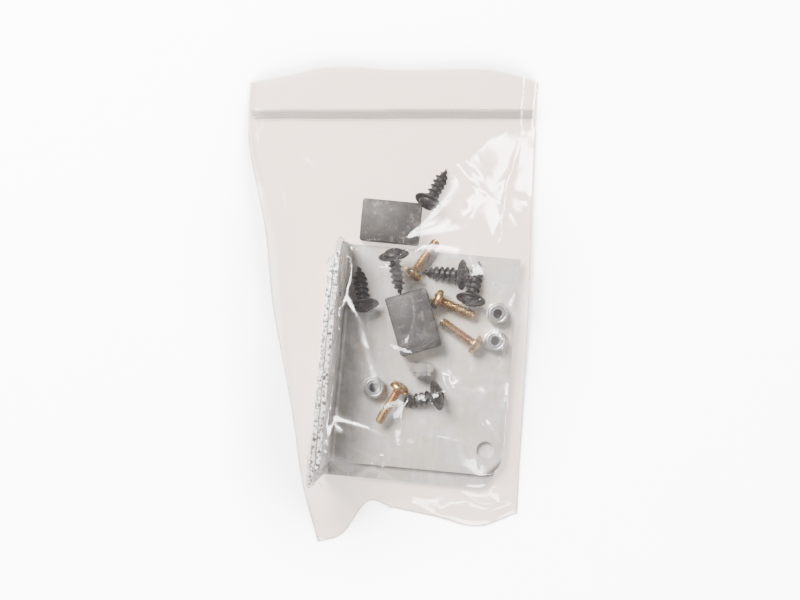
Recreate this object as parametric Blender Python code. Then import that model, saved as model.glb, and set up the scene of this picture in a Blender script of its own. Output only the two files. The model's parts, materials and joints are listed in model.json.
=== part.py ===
"""A clear grip-seal bag of stair gate latch fittings, lying flat on a surface.

Metres, +Z up. The origin is on the surface under the middle of the bag, and +Y points to
the bag's zip. Two angle plates lie nested in the bag with their flanges standing up at
the left. The screws, lock nuts and spacer blocks lie loose on the plates.
"""

import math

import bmesh
import bpy
import numpy as np
from mathutils import Matrix, Vector
from mathutils.bvhtree import BVHTree

GAP = 0.0003  # air between pieces that rest on each other
FILM = 0.0004  # thickness of the bag's film

BAG_WIDTH = 0.133
BAG_LENGTH = 0.218
ZIP_FROM_TOP = 0.0218  # from the bag's top edge to the middle of the zip
ZIP_WIDTH = 0.0046
ZIP_WALL = 0.0009
ZIP_DEPTH = 0.0014
LIP_HINGE_FROM_ZIP = 0.0062
TENT_CLEARANCE = 0.0006  # from the contents to the front film
TENT_COLUMNS = 18
TENT_ROWS = 26

PLATE_WIDTH = 0.080
PLATE_LENGTH = 0.0993
PLATE_THICKNESS = 0.0021
FLANGE_HEIGHT = 0.034
FLANGE_LEAN = math.radians(5)  # how far the bend is open past a right angle
BEND_RADIUS = 0.0018  # on the inner side of the bend
CORNER_RADIUS = 0.009
PLATE_HOLE_RADIUS = 0.004
PLATE_HOLE_FROM_SIDE = 0.0082
PLATE_HOLE_FROM_END = 0.0113
FLANGE_HOLE_RADIUS = 0.0038
FLANGE_HOLE_FROM_END = 0.022
FLANGE_HOLE_HEIGHT = 0.020
PLATES_TURN = math.radians(-5.3)
PLATES_CENTRE = (0.0136, -0.0255)
NEST_OFFSET = 0.0066  # how far the lower plate sits towards the bag's bottom

BLOCK_LENGTH = 0.0272
BLOCK_WIDTH = 0.0192
BLOCK_HEIGHT = 0.009
BLOCK_EDGE = 0.0008

WOOD_LENGTH = 0.0185  # under the head
WOOD_HEAD_RADIUS = 0.0069
WOOD_RIM = 0.0010
WOOD_DOME_RADIUS = 0.0046
WOOD_DOME_HEIGHT = 0.0026
WOOD_CORE_RADIUS = 0.0022
WOOD_THREAD_DEPTH = 0.0012
WOOD_THREAD_PITCH = 0.0026
WOOD_POINT_LENGTH = 0.006

MACHINE_LENGTH = 0.0178  # under the head
MACHINE_RADIUS = 0.0023
MACHINE_HEAD_RADIUS = 0.0046
MACHINE_HEAD_HEIGHT = 0.0030
CROSS_WIDTH = 0.0010
CROSS_DEPTH = 0.0014

NUT_ACROSS_FLATS = 0.0095
NUT_HEX_HEIGHT = 0.0042
NUT_COLLAR_HEIGHT = 0.0018
NUT_COLLAR_RADIUS = 0.0043
NUT_CLEARANCE = 0.0001  # from the nut's bore to the screw's shank
INSERT_HEIGHT = 0.0012
INSERT_RADIUS = 0.0032

SEGMENTS = 16

# The outline of the bag as it lies, in shares of half its width and half its length.
# Its lower half is drawn in by the standing flanges.
LEFT_EDGE = (
    (-0.52, -1.0),
    (-0.63, -0.75),
    (-0.70, -0.45),
    (-0.82, -0.02),
    (-0.87, 0.30),
    (-0.985, 0.64),
    (-1.0, 0.80),
    (-0.985, 0.932),
)
RIGHT_EDGE = (
    (0.85, -0.88),
    (0.865, -0.70),
    (0.895, -0.40),
    (0.93, 0.0),
    (0.95, 0.40),
    (0.985, 0.80),
    (1.0, 0.932),
)
BOTTOM_EDGE = (
    (-0.52, -1.0),
    (-0.355, -0.965),
    (-0.18, -0.83),
    (0.0, -0.857),
    (0.29, -0.895),
    (0.58, -0.935),
    (0.85, -0.88),
)
TOP_EDGE = (
    (-0.985, 0.932),
    (-0.72, 0.965),
    (-0.40, 1.0),
    (0.07, 0.985),
    (0.60, 0.99),
    (0.85, 0.962),
    (1.0, 0.932),
)

# Where the loose pieces lie on the upper plate: a share of its width from the flange, a
# share of its length from its bottom end, and the heading of the piece in degrees from
# the plate's width.
BLOCKS = {"spacer_block_1": (0.245, 1.115, 0), "spacer_block_2": (0.422, 0.671, 111)}
LOCK_NUTS = {
    "lock_nut_1": (0.892, 0.742, 12),
    "lock_nut_2": (0.893, 0.619, 40),
    "lock_nut_4": (0.236, 0.357, 25),
}
LOCK_NUT_ON_SIDE = {"lock_nut_3": (0.488, 0.490, 95)}
WOOD_SCREWS = {
    "wood_screw_1": (0.480, 1.218, 67),
    "wood_screw_2": (0.661, 0.928, 181),
    "wood_screw_3": (0.764, 0.800, 81),
    "wood_screw_4": (0.572, 0.370, 201),
    "wood_screw_5": (0.252, 0.945, 285),
    "wood_screw_6": (0.165, 0.740, 104),
}
MACHINE_SCREWS = {
    "machine_screw_1": (0.399, 0.895, 59),
    "machine_screw_2": (0.558, 0.781, 341),
    "machine_screw_3": (0.772, 0.598, 150),
    "machine_screw_4": (0.374, 0.362, 245),
}

COLOURS = {  # base colour, roughness, metallic, alpha
    "film": ((0.86, 0.82, 0.79), 0.25, 0.0, 0.35),
    "zinc": ((0.66, 0.68, 0.69), 0.35, 1.0, 1.0),
    "yellow_zinc": ((0.62, 0.50, 0.30), 0.35, 1.0, 1.0),
    "black_steel": ((0.05, 0.05, 0.06), 0.45, 0.7, 1.0),
    "block_rubber": ((0.12, 0.12, 0.13), 0.6, 0.0, 1.0),
    "nylon": ((0.82, 0.82, 0.80), 0.5, 0.0, 1.0),
}

BACK_TOP = FILM
ZIP_BASE = BACK_TOP + GAP
ZIP_TOP = ZIP_BASE + FILM + ZIP_DEPTH
FRONT_TRACK_BASE = ZIP_TOP + GAP
LIP_BASE = FRONT_TRACK_BASE + FILM + GAP
ZIP_Y = BAG_LENGTH / 2 - ZIP_FROM_TOP
HINGE_Y = ZIP_Y - LIP_HINGE_FROM_ZIP
HINGE_Z = LIP_BASE + FILM


def clear_scene():
    for thing in list(bpy.data.objects):
        bpy.data.objects.remove(thing, do_unlink=True)


def material(name):
    """The Principled material of one of COLOURS, made on first use."""
    found = bpy.data.materials.get(name)
    if found:
        return found
    colour, roughness, metallic, alpha = COLOURS[name]
    made = bpy.data.materials.new(name)
    made.use_nodes = True
    shader = made.node_tree.nodes["Principled BSDF"]
    shader.inputs["Base Color"].default_value = (*colour, 1.0)
    shader.inputs["Roughness"].default_value = roughness
    shader.inputs["Metallic"].default_value = metallic
    shader.inputs["Alpha"].default_value = alpha
    return made


def mesh_from(bm, name, smooth=False):
    """The bmesh as a mesh with outward faces. A round piece is smooth but for its edges."""
    bmesh.ops.recalc_face_normals(bm, faces=bm.faces)
    mesh = bpy.data.meshes.new(name)
    bm.to_mesh(mesh)
    bm.free()
    if smooth:
        mesh.shade_smooth()
        mesh.set_sharp_from_angle(angle=math.radians(35))
    return mesh


def add(name, mesh, finish):
    """An object of this mesh, in a material of its own."""
    thing = bpy.data.objects.new(name, mesh)
    thing.data.materials.clear()
    thing.data.materials.append(material(finish))
    bpy.context.scene.collection.objects.link(thing)
    return thing


def cut(mesh, cutter, operation="DIFFERENCE"):
    """The mesh with the cutter taken away, or with only what both share."""
    body = bpy.data.objects.new("body", mesh)
    tool = bpy.data.objects.new("tool", cutter)
    bpy.context.scene.collection.objects.link(body)
    bpy.context.scene.collection.objects.link(tool)
    modifier = body.modifiers.new("cut", "BOOLEAN")
    modifier.operation = operation
    modifier.object = tool
    bpy.context.view_layer.update()
    depsgraph = bpy.context.evaluated_depsgraph_get()
    result = bpy.data.meshes.new_from_object(body.evaluated_get(depsgraph))
    bpy.data.objects.remove(body, do_unlink=True)
    bpy.data.objects.remove(tool, do_unlink=True)
    return result


def prism(outline, low, high, name="prism"):
    """A flat outline of (x, y) points made solid between two heights."""
    bm = bmesh.new()
    face = bm.faces.new([bm.verts.new((x, y, low)) for x, y in outline])
    made = bmesh.ops.extrude_face_region(bm, geom=[face])["geom"]
    top = [v for v in made if isinstance(v, bmesh.types.BMVert)]
    bmesh.ops.translate(bm, verts=top, vec=(0, 0, high - low))
    return mesh_from(bm, name)


def turned(profile, name, closed=False):
    """A solid turned about Z from (radius, height) points."""
    bm = bmesh.new()
    points = [bm.verts.new((r, 0, z)) for r, z in profile]
    edges = [bm.edges.new(pair) for pair in zip(points, points[1:])]
    if closed:
        edges.append(bm.edges.new((points[-1], points[0])))
    bmesh.ops.spin(
        bm,
        geom=points + edges,
        axis=(0, 0, 1),
        cent=(0, 0, 0),
        angle=math.tau,
        steps=SEGMENTS,
        use_merge=True,
    )
    bmesh.ops.remove_doubles(bm, verts=bm.verts, dist=1e-6)
    bmesh.ops.dissolve_degenerate(bm, edges=bm.edges, dist=1e-7)
    return mesh_from(bm, name, smooth=True)


def moved(mesh, matrix):
    mesh.transform(matrix)
    return mesh


def cross_tool(reach, low, high):
    """A plus-shaped cutter for a screw's drive."""
    h = CROSS_WIDTH / 2
    corner = ((reach, -h), (reach, h), (h, h), (h, reach))
    outline = []
    for quarter in range(4):
        c, s = round(math.cos(quarter * math.pi / 2)), round(math.sin(quarter * math.pi / 2))
        outline += [(c * x - s * y, s * x + c * y) for x, y in corner[:3]]
    return prism(outline, low, high)


# ---- the plates ----


def plate_profile():
    """The bent strip in its (across, up) plane, with the bend at the low end of across."""
    left, right = -PLATE_WIDTH / 2, PLATE_WIDTH / 2
    centre = (left + BEND_RADIUS + PLATE_THICKNESS, PLATE_THICKNESS + BEND_RADIUS)
    end = math.pi - FLANGE_LEAN
    turns = [-math.pi / 2 - (end - math.pi / 2) * k / 4 for k in range(5)]
    up = (-math.sin(FLANGE_LEAN), math.cos(FLANGE_LEAN))
    reach = (FLANGE_HEIGHT - centre[1]) / up[1]

    def arc(radius):
        return [(centre[0] + radius * math.cos(a), centre[1] + radius * math.sin(a)) for a in turns]

    outer, inner = arc(BEND_RADIUS + PLATE_THICKNESS), arc(BEND_RADIUS)
    outer_end = (outer[-1][0] + up[0] * reach, outer[-1][1] + up[1] * reach)
    inner_end = (inner[-1][0] + up[0] * reach, inner[-1][1] + up[1] * reach)
    face = [(right, 0)] + outer + [outer_end, inner_end] + inner[::-1] + [(right, PLATE_THICKNESS)]
    return face


def corner_tool(size):
    """What a rounded corner loses: a square less a quarter disc, in the (+x, -y) corner."""
    over = 0.002
    arc = [
        (-size + size * math.sin(math.pi / 2 * k / 6), size - size * math.cos(math.pi / 2 * k / 6))
        for k in range(7)
    ]
    return prism([(-size, -over), (over, -over), (over, size)] + arc[::-1], -0.01, 0.01)


def bent_plate():
    """One angle plate, its width along X, its length along Y and its flange up at -X."""
    outline = plate_profile()
    solid = prism(outline, -PLATE_LENGTH / 2, PLATE_LENGTH / 2, "plate")
    stand_up = Matrix(((1, 0, 0, 0), (0, 0, -1, 0), (0, 1, 0, 0), (0, 0, 0, 1)))
    moved(solid, stand_up)
    right, bottom = PLATE_WIDTH / 2, -PLATE_LENGTH / 2
    solid = cut(solid, moved(corner_tool(CORNER_RADIUS), Matrix.Translation((right, bottom, 0))))
    hole = turned([(0, -0.01), (PLATE_HOLE_RADIUS, -0.01), (PLATE_HOLE_RADIUS, 0.01), (0, 0.01)], "hole")
    at = (right - PLATE_HOLE_FROM_SIDE, bottom + PLATE_HOLE_FROM_END, 0)
    solid = cut(solid, moved(hole, Matrix.Translation(at)))
    root = Vector((-right, 0, 0))
    lean = Matrix.Rotation(-FLANGE_LEAN, 4, "Y")
    across = Matrix.Rotation(math.pi / 2, 4, "Y")
    for end in (-1, 1):
        hole = turned(
            [(0, -0.01), (FLANGE_HOLE_RADIUS, -0.01), (FLANGE_HOLE_RADIUS, 0.01), (0, 0.01)], "hole"
        )
        y = end * (PLATE_LENGTH / 2 - FLANGE_HOLE_FROM_END)
        place = Matrix.Translation(root) @ lean @ Matrix.Translation((0, y, FLANGE_HOLE_HEIGHT))
        solid = cut(solid, moved(hole, place @ across))
        corner = corner_tool(CORNER_RADIUS)
        on_flange = Matrix(((0, 0, 1, 0), (0, -end, 0, 0), (1, 0, 0, 0), (0, 0, 0, 1)))
        top = Matrix.Translation(root) @ Matrix.Translation(
            (-math.sin(FLANGE_LEAN) * FLANGE_HEIGHT, end * PLATE_LENGTH / 2, FLANGE_HEIGHT)
        )
        solid = cut(solid, moved(corner, top @ on_flange))
    solid.shade_flat()
    return solid


def plate_place(level, lower):
    """Where a plate goes: the lower one fits round the outside of the upper one."""
    step = PLATE_THICKNESS + GAP
    slant = step / math.cos(FLANGE_LEAN) + step * math.tan(FLANGE_LEAN)
    shift = Vector((-slant, -NEST_OFFSET, 0)) if lower else Vector((0, 0, 0))
    turn = Matrix.Rotation(PLATES_TURN, 4, "Z")
    return Matrix.Translation((*PLATES_CENTRE, level)) @ turn @ Matrix.Translation(shift)


def on_plate(across, along):
    """The world (x, y) of a place given in shares of the upper plate's width and length."""
    local = Vector(((across - 0.5) * PLATE_WIDTH, (along - 0.5) * PLATE_LENGTH, 0))
    x, y, _ = Matrix.Rotation(PLATES_TURN, 3, "Z") @ local
    return PLATES_CENTRE[0] + x, PLATES_CENTRE[1] + y


# ---- the loose pieces ----


def spacer_block():
    bm = bmesh.new()
    bmesh.ops.create_cube(bm, size=1)
    bmesh.ops.scale(bm, vec=(BLOCK_LENGTH, BLOCK_WIDTH, BLOCK_HEIGHT), verts=bm.verts)
    bmesh.ops.bevel(bm, geom=bm.edges[:], offset=BLOCK_EDGE, segments=1, affect="EDGES")
    return mesh_from(bm, "block")


def wood_screw():
    """A coarse-threaded screw with a washer head, its head at +Z and its point at -Z."""
    rings_per_turn = 4
    rim = WOOD_RIM
    dome = [
        (
            WOOD_DOME_RADIUS * math.cos(a),
            rim + WOOD_DOME_HEIGHT * math.sin(a),
        )
        for a in (math.pi / 2 * k / 3 for k in range(3))
    ]
    rings = round(WOOD_LENGTH / WOOD_THREAD_PITCH * rings_per_turn)
    shank = [
        (shank_radius(WOOD_LENGTH * k / rings), -WOOD_LENGTH * k / rings) for k in range(rings)
    ]
    head = [(0, rim + WOOD_DOME_HEIGHT)] + dome[::-1]
    edge = [(WOOD_HEAD_RADIUS, rim * 0.8), (WOOD_HEAD_RADIUS, 0)]
    mesh = turned(head + edge + shank + [(0, -WOOD_LENGTH)], "wood_screw")
    for vertex in mesh.vertices:
        x, y, z = vertex.co
        depth = -z
        if WOOD_THREAD_PITCH / 2 < depth < WOOD_LENGTH - 0.0005:
            radius = math.hypot(x, y)
            phase = (depth / WOOD_THREAD_PITCH - math.atan2(y, x) / math.tau) % 1
            ridge = max(0.0, 1 - abs(phase - 0.5) * 4)
            grow = (radius + WOOD_THREAD_DEPTH * ridge * thread_share(depth)) / radius
            vertex.co.x, vertex.co.y = x * grow, y * grow
    tool = cross_tool(WOOD_DOME_RADIUS * 0.5, rim + WOOD_DOME_HEIGHT - CROSS_DEPTH, 0.01)
    return cut(mesh, tool)


def shank_radius(depth):
    """The core's radius this far under the head: straight, then drawn out to the point."""
    to_point = max(0.0, depth - (WOOD_LENGTH - WOOD_POINT_LENGTH)) / WOOD_POINT_LENGTH
    return WOOD_CORE_RADIUS * (1 - 0.85 * to_point)


def thread_share(depth):
    """The thread dies away at the point."""
    return min(1.0, 0.25 + (WOOD_LENGTH - depth) / WOOD_POINT_LENGTH)


def machine_screw():
    """A pan-head machine screw, its head at +Z."""
    r, h = MACHINE_HEAD_RADIUS, MACHINE_HEAD_HEIGHT
    head = [(0, h), (r * 0.55, h * 0.95), (r * 0.85, h * 0.72), (r, h * 0.35), (r, 0)]
    end = MACHINE_RADIUS * 0.25
    shank = [
        (MACHINE_RADIUS, 0),
        (MACHINE_RADIUS, -MACHINE_LENGTH / 3),
        (MACHINE_RADIUS, -MACHINE_LENGTH * 2 / 3),
        (MACHINE_RADIUS, -MACHINE_LENGTH + end),
        (MACHINE_RADIUS - end, -MACHINE_LENGTH),
        (0, -MACHINE_LENGTH),
    ]
    mesh = turned(head + shank, "machine_screw")
    return cut(mesh, cross_tool(r * 0.55, h - CROSS_DEPTH, 0.01))


def lock_nut():
    """A hex nut with a round collar round its nylon ring. It stands on z = 0."""
    bore = MACHINE_RADIUS + NUT_CLEARANCE
    recess = INSERT_RADIUS + GAP
    outer = NUT_ACROSS_FLATS / math.sqrt(3)
    bevel = (outer - NUT_ACROSS_FLATS / 2) * 0.6
    top = NUT_HEX_HEIGHT + NUT_COLLAR_HEIGHT
    floor = top - INSERT_HEIGHT - 2 * GAP
    profile = [
        (bore, 0),
        (outer - bevel * 1.6, 0),
        (outer + 0.0002, bevel),
        (outer + 0.0002, NUT_HEX_HEIGHT - bevel),
        (outer - bevel * 1.6, NUT_HEX_HEIGHT),
        (NUT_COLLAR_RADIUS, NUT_HEX_HEIGHT),
        (NUT_COLLAR_RADIUS, top - 0.0004),
        (NUT_COLLAR_RADIUS - 0.0004, top),
        (recess, top),
        (recess, floor),
        (bore, floor),
    ]
    flats = [
        (outer * math.cos(math.pi / 3 * k), outer * math.sin(math.pi / 3 * k)) for k in range(6)
    ]
    hexagon = prism(flats, -0.002, top + 0.002)
    return cut(turned(profile, "lock_nut", closed=True), hexagon, "INTERSECT")


def nut_insert():
    """The nylon ring, in the lock nut's own position."""
    low = NUT_HEX_HEIGHT + NUT_COLLAR_HEIGHT - INSERT_HEIGHT - GAP
    high = low + INSERT_HEIGHT
    bore = MACHINE_RADIUS - 0.0002
    profile = [(bore, low), (INSERT_RADIUS, low), (INSERT_RADIUS, high), (bore, high)]
    return turned(profile, "nut_insert", closed=True)


# ---- laying the pieces down ----


def corners(thing):
    """Points over a piece's edges, in the world, and its triangles' tree."""
    matrix = thing.matrix_world
    points = [matrix @ v.co for v in thing.data.vertices]
    tree = BVHTree.FromPolygons(points, [tuple(p.vertices) for p in thing.data.polygons])
    along = [
        points[e.vertices[0]].lerp(points[e.vertices[1]], k / 4)
        for e in thing.data.edges
        for k in range(1, 4)
    ]
    return points + along, tree


def lower_onto(thing, others, floor):
    """Lowers a piece until it is GAP above the floor or above one of the others."""
    thing.location.z += 0.1
    bpy.context.view_layer.update()
    points, tree = corners(thing)
    drop = min(p.z for p in points) - floor
    down, up = Vector((0, 0, -1)), Vector((0, 0, 1))
    for other in others:
        other_points, other_tree = corners(other)
        for p in points:
            hit = other_tree.ray_cast(p, down)
            if hit[0] is not None:
                drop = min(drop, hit[3] - GAP)
        for p in other_points:
            hit = tree.ray_cast(p, up)
            if hit[0] is not None:
                drop = min(drop, hit[3] - GAP)
    thing.location.z -= drop
    bpy.context.view_layer.update()


def lay(thing, place, tilt, others, floor):
    """Lays a screw on its side, its -Z towards the heading and dipping by tilt."""
    across, along, heading = place
    x, y = on_plate(across, along)
    turn = math.radians(heading) + PLATES_TURN
    aim = Vector((math.cos(turn) * math.cos(tilt), math.sin(turn) * math.cos(tilt), -math.sin(tilt)))
    thing.rotation_mode = "QUATERNION"
    thing.rotation_quaternion = aim.to_track_quat("-Z", "Y")
    thing.location = (x, y, 0)
    lower_onto(thing, others, floor)


def set_flat(thing, place, others, floor):
    """Sets a piece down on its base."""
    across, along, heading = place
    x, y = on_plate(across, along)
    thing.rotation_euler = (0, 0, math.radians(heading) + PLATES_TURN)
    thing.location = (x, y, 0)
    lower_onto(thing, others, floor)


def add_contents():
    """The plates, then all the loose pieces, each lowered onto what lies under it."""
    floor = BACK_TOP + GAP
    plate = bent_plate()
    lower = add("angle_plate_lower", plate, "zinc")
    lower.matrix_world = plate_place(floor, lower=True)
    upper = add("angle_plate_upper", plate.copy(), "zinc")
    upper.matrix_world = plate_place(floor + PLATE_THICKNESS + GAP, lower=False)
    bpy.context.view_layer.update()
    laid = [lower, upper]
    block = spacer_block()
    for name, place in BLOCKS.items():
        laid.append(add(name, block, "block_rubber"))
        set_flat(laid[-1], place, laid[:-1], floor)
    nut, ring = lock_nut(), nut_insert()
    for name, place in (LOCK_NUTS | LOCK_NUT_ON_SIDE).items():
        body = add(name, nut, "zinc")
        if name in LOCK_NUT_ON_SIDE:
            lay(body, place, 0.0, laid, floor)
        else:
            set_flat(body, place, laid, floor)
        laid.append(body)
        insert = add(name.replace("nut", "nut_insert"), ring, "nylon")
        insert.matrix_world = body.matrix_world
    shank, head = wood_screw(), WOOD_HEAD_RADIUS
    for name, place in WOOD_SCREWS.items():
        screw = add(name, shank, "black_steel")
        lay(screw, place, math.atan2(head, WOOD_LENGTH), laid, floor)
        laid.append(screw)
    shank, step = machine_screw(), MACHINE_HEAD_RADIUS - MACHINE_RADIUS
    for name, place in MACHINE_SCREWS.items():
        screw = add(name, shank, "yellow_zinc")
        lay(screw, place, math.atan2(step, MACHINE_LENGTH), laid, floor)
        laid.append(screw)
    return laid


# ---- the bag ----


def smooth_edge(edge, count=41):
    """Evenly spaced points on a smooth line through an edge's points, in metres."""
    p = np.array(edge) * (BAG_WIDTH / 2, BAG_LENGTH / 2)
    q = np.vstack([2 * p[0] - p[1], p, 2 * p[-1] - p[-2]])
    dense = []
    for k in range(len(p) - 1):
        a, b, c, d = q[k : k + 4]
        for t in np.linspace(0, 1, 16, endpoint=False):
            bend = 2 * b + (c - a) * t + (2 * a - 5 * b + 4 * c - d) * t**2
            dense.append((bend + (3 * b - a - 3 * c + d) * t**3) / 2)
    dense = np.array(dense + [p[-1]])
    run = np.concatenate([[0], np.cumsum(np.linalg.norm(np.diff(dense, axis=0), axis=1))])
    at = np.linspace(0, run[-1], count)
    return np.column_stack([np.interp(at, run, dense[:, 0]), np.interp(at, run, dense[:, 1])])


def up_to(edge, y):
    """A side edge cut off at a height y."""
    kept = edge[edge[:, 1] < y]
    return np.vstack([kept, [np.interp(y, edge[:, 1], edge[:, 0]), y]])


def from_height(edge, y):
    """A side edge from a height y upward."""
    kept = edge[edge[:, 1] > y]
    return np.vstack([[np.interp(y, edge[:, 1], edge[:, 0]), y], kept])


def along(edge, share):
    """Points at shares of an edge's length."""
    run = np.concatenate([[0], np.cumsum(np.linalg.norm(np.diff(edge, axis=0), axis=1))])
    at = np.asarray(share) * run[-1]
    return np.column_stack([np.interp(at, run, edge[:, 0]), np.interp(at, run, edge[:, 1])])


def patch(columns, rows):
    """The plan of the front film: a grid between its four edges."""
    left, right = (up_to(smooth_edge(e), HINGE_Y) for e in (LEFT_EDGE, RIGHT_EDGE))
    bottom = smooth_edge(BOTTOM_EDGE)
    top = np.array([left[-1], right[-1]])
    s, t = columns[None, :, None], rows[:, None, None]
    west, east = along(left, rows)[:, None], along(right, rows)[:, None]
    south, north = along(bottom, columns)[None], along(top, columns)[None]
    flat = (1 - s) * west + s * east + (1 - t) * south + t * north
    ends = (1 - s) * (1 - t) * left[0] + s * (1 - t) * right[0]
    return flat - ends - (1 - s) * t * left[-1] - s * t * right[-1]


def close_at_ends(count, first):
    """Shares from 0 to 1, set closer together near both ends."""
    inner = np.linspace(first * 2.2, 1 - first * 2.2, count - 3)
    return np.concatenate([[0, first], inner, [1 - first, 1]])


def edge_points(thing, spacing=0.001):
    """Points along all edges of a piece, as an array of world positions."""
    matrix = thing.matrix_world
    ends = [[matrix @ thing.data.vertices[v].co for v in e.vertices] for e in thing.data.edges]
    found = []
    for a, b in ends:
        steps = max(1, math.ceil((b - a).length / spacing))
        found += [a.lerp(b, k / steps) for k in range(steps + 1)]
    return np.array(found)


def tops_under(plan, contents):
    """The highest content within a cell of each grid point."""
    trees = [corners(thing)[1] for thing in contents]
    peaks = np.vstack([edge_points(thing) for thing in contents])
    rows, columns = plan.shape[:2]
    top = np.zeros((rows, columns))
    down = Vector((0, 0, -1))
    for i in range(rows):
        for j in range(columns):
            near = plan[max(i - 1, 0) : i + 2, max(j - 1, 0) : j + 2].reshape(-1, 2)
            low, high = near.min(axis=0), near.max(axis=0)
            inside = np.all((peaks[:, :2] >= low) & (peaks[:, :2] <= high), axis=1)
            top[i, j] = peaks[inside, 2].max(initial=0)
            for x, y in near:
                for tree in trees:
                    hit = tree.ray_cast(Vector((x, y, 0.2)), down)
                    if hit[0] is not None:
                        top[i, j] = max(top[i, j], hit[0].z)
    return top


def tent(plan, contents):
    """The height of the front film's inner side: a sheet pulled tight over the contents."""
    low = BACK_TOP + GAP
    top = tops_under(plan, contents)
    must = np.where(top > 0, top + TENT_CLEARANCE, low)
    height = must.copy()
    mouth = np.linspace(0, 1, plan.shape[1])
    mouth = low + (LIP_BASE - low) * np.minimum(1, np.minimum(mouth, 1 - mouth) * 8)
    for _ in range(900):
        height[1:-1, 1:-1] = (
            height[:-2, 1:-1] + height[2:, 1:-1] + height[1:-1, :-2] + height[1:-1, 2:]
        ) / 4
        height = np.maximum(height, must)
        height[0], height[:, 0], height[:, -1] = low, low, low
        height[-1] = mouth
    return height


def film_between(plan, height, thickness):
    """A closed skin over a grid, from its inner side up by a thickness at each point."""
    rows, columns = height.shape
    bm = bmesh.new()
    layers = []
    for z in (height, height + thickness):
        layers.append(
            [[bm.verts.new((*plan[i, j], z[i, j])) for j in range(columns)] for i in range(rows)]
        )
    inner, outer = layers
    for i in range(rows - 1):
        for j in range(columns - 1):
            for skin in layers:
                bm.faces.new((skin[i][j], skin[i][j + 1], skin[i + 1][j + 1], skin[i + 1][j]))
    rim = [(0, j) for j in range(columns)] + [(i, columns - 1) for i in range(1, rows)]
    rim += [(rows - 1, j) for j in range(columns - 2, -1, -1)]
    rim += [(i, 0) for i in range(rows - 2, 0, -1)]
    for (a, b), (c, d) in zip(rim, rim[1:] + rim[:1]):
        bm.faces.new((inner[a][b], inner[c][d], outer[c][d], outer[a][b]))
    return mesh_from(bm, "film")


def add_front_panel(contents):
    plan = patch(close_at_ends(TENT_COLUMNS + 1, 0.018), close_at_ends(TENT_ROWS + 1, 0.014))
    height = tent(plan, contents)
    slope = np.zeros_like(height)
    for axis in (0, 1):
        step = np.linalg.norm(np.gradient(plan, axis=axis), axis=2)
        slope += (np.gradient(height, axis=axis) / step) ** 2
    thickness = FILM * np.minimum(np.sqrt(1 + slope), 4)
    return add("bag_front_panel", film_between(plan, height, thickness), "film")


def add_back_panel():
    edges = [smooth_edge(e, 21) for e in (BOTTOM_EDGE, RIGHT_EDGE, TOP_EDGE, LEFT_EDGE)]
    outline = [*edges[0], *edges[1][1:], *edges[2][-2::-1], *edges[3][-2:0:-1]]
    return add("bag_back_panel", prism([tuple(p) for p in outline], 0, FILM, "back"), "film")


def add_front_lip():
    """The strip of front film over the zip. It folds up about the top of its lower edge."""
    start = HINGE_Y + GAP
    left = from_height(smooth_edge(LEFT_EDGE), start)
    right = from_height(smooth_edge(RIGHT_EDGE), start)
    top = smooth_edge(TOP_EDGE, 21)
    outline = [*left[:-1], *top, *right[-2::-1]]
    pivot = Vector((0, HINGE_Y, HINGE_Z))
    mesh = prism([tuple(p) for p in outline], LIP_BASE, LIP_BASE + FILM, "lip")
    lip = add("bag_front_lip", moved(mesh, Matrix.Translation(-pivot)), "film")
    lip.location = pivot
    return lip


def track(profile, name):
    """A zip track: its (along the bag, up) profile run across the bag."""
    left = np.interp(ZIP_Y, *smooth_edge(LEFT_EDGE).T[::-1])
    right = np.interp(ZIP_Y, *smooth_edge(RIGHT_EDGE).T[::-1])
    inset = 0.001
    mesh = prism(profile, left + inset, right - inset, name)
    return moved(mesh, Matrix(((0, 0, 1, 0), (1, 0, 0, ZIP_Y), (0, 1, 0, 0), (0, 0, 0, 1))))


def add_zip():
    """A groove on the back film and a rib over it on the front lip."""
    half, inner = ZIP_WIDTH / 2, ZIP_WIDTH / 2 - ZIP_WALL
    low, floor, top = ZIP_BASE, ZIP_BASE + FILM, ZIP_TOP
    groove = [(-half, low), (half, low), (half, top), (inner, top), (inner, floor)]
    groove += [(-inner, floor), (-inner, top), (-half, top)]
    add("zip_track_back", track(groove, "groove"), "film")
    rib, tip = inner - 2 * GAP, floor + GAP
    base = FRONT_TRACK_BASE
    ridge = [(-half, base), (-rib, base), (-rib, tip), (rib, tip), (rib, base), (half, base)]
    ridge += [(half, base + FILM), (-half, base + FILM)]
    pivot = Vector((0, HINGE_Y, HINGE_Z))
    front = add("zip_track_front", moved(track(ridge, "rib"), Matrix.Translation(-pivot)), "film")
    front.location = pivot


def build():
    clear_scene()
    add_back_panel()
    add_zip()
    add_front_lip()
    contents = add_contents()
    add_front_panel(contents)


build()
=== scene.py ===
"""The looks of a grip-seal bag of stair gate latch fittings, built round its CAD model."""

import json
import math

import bmesh
import bpy
import numpy as np
from mathutils import Matrix, Vector, noise
from mathutils.bvhtree import BVHTree

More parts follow.
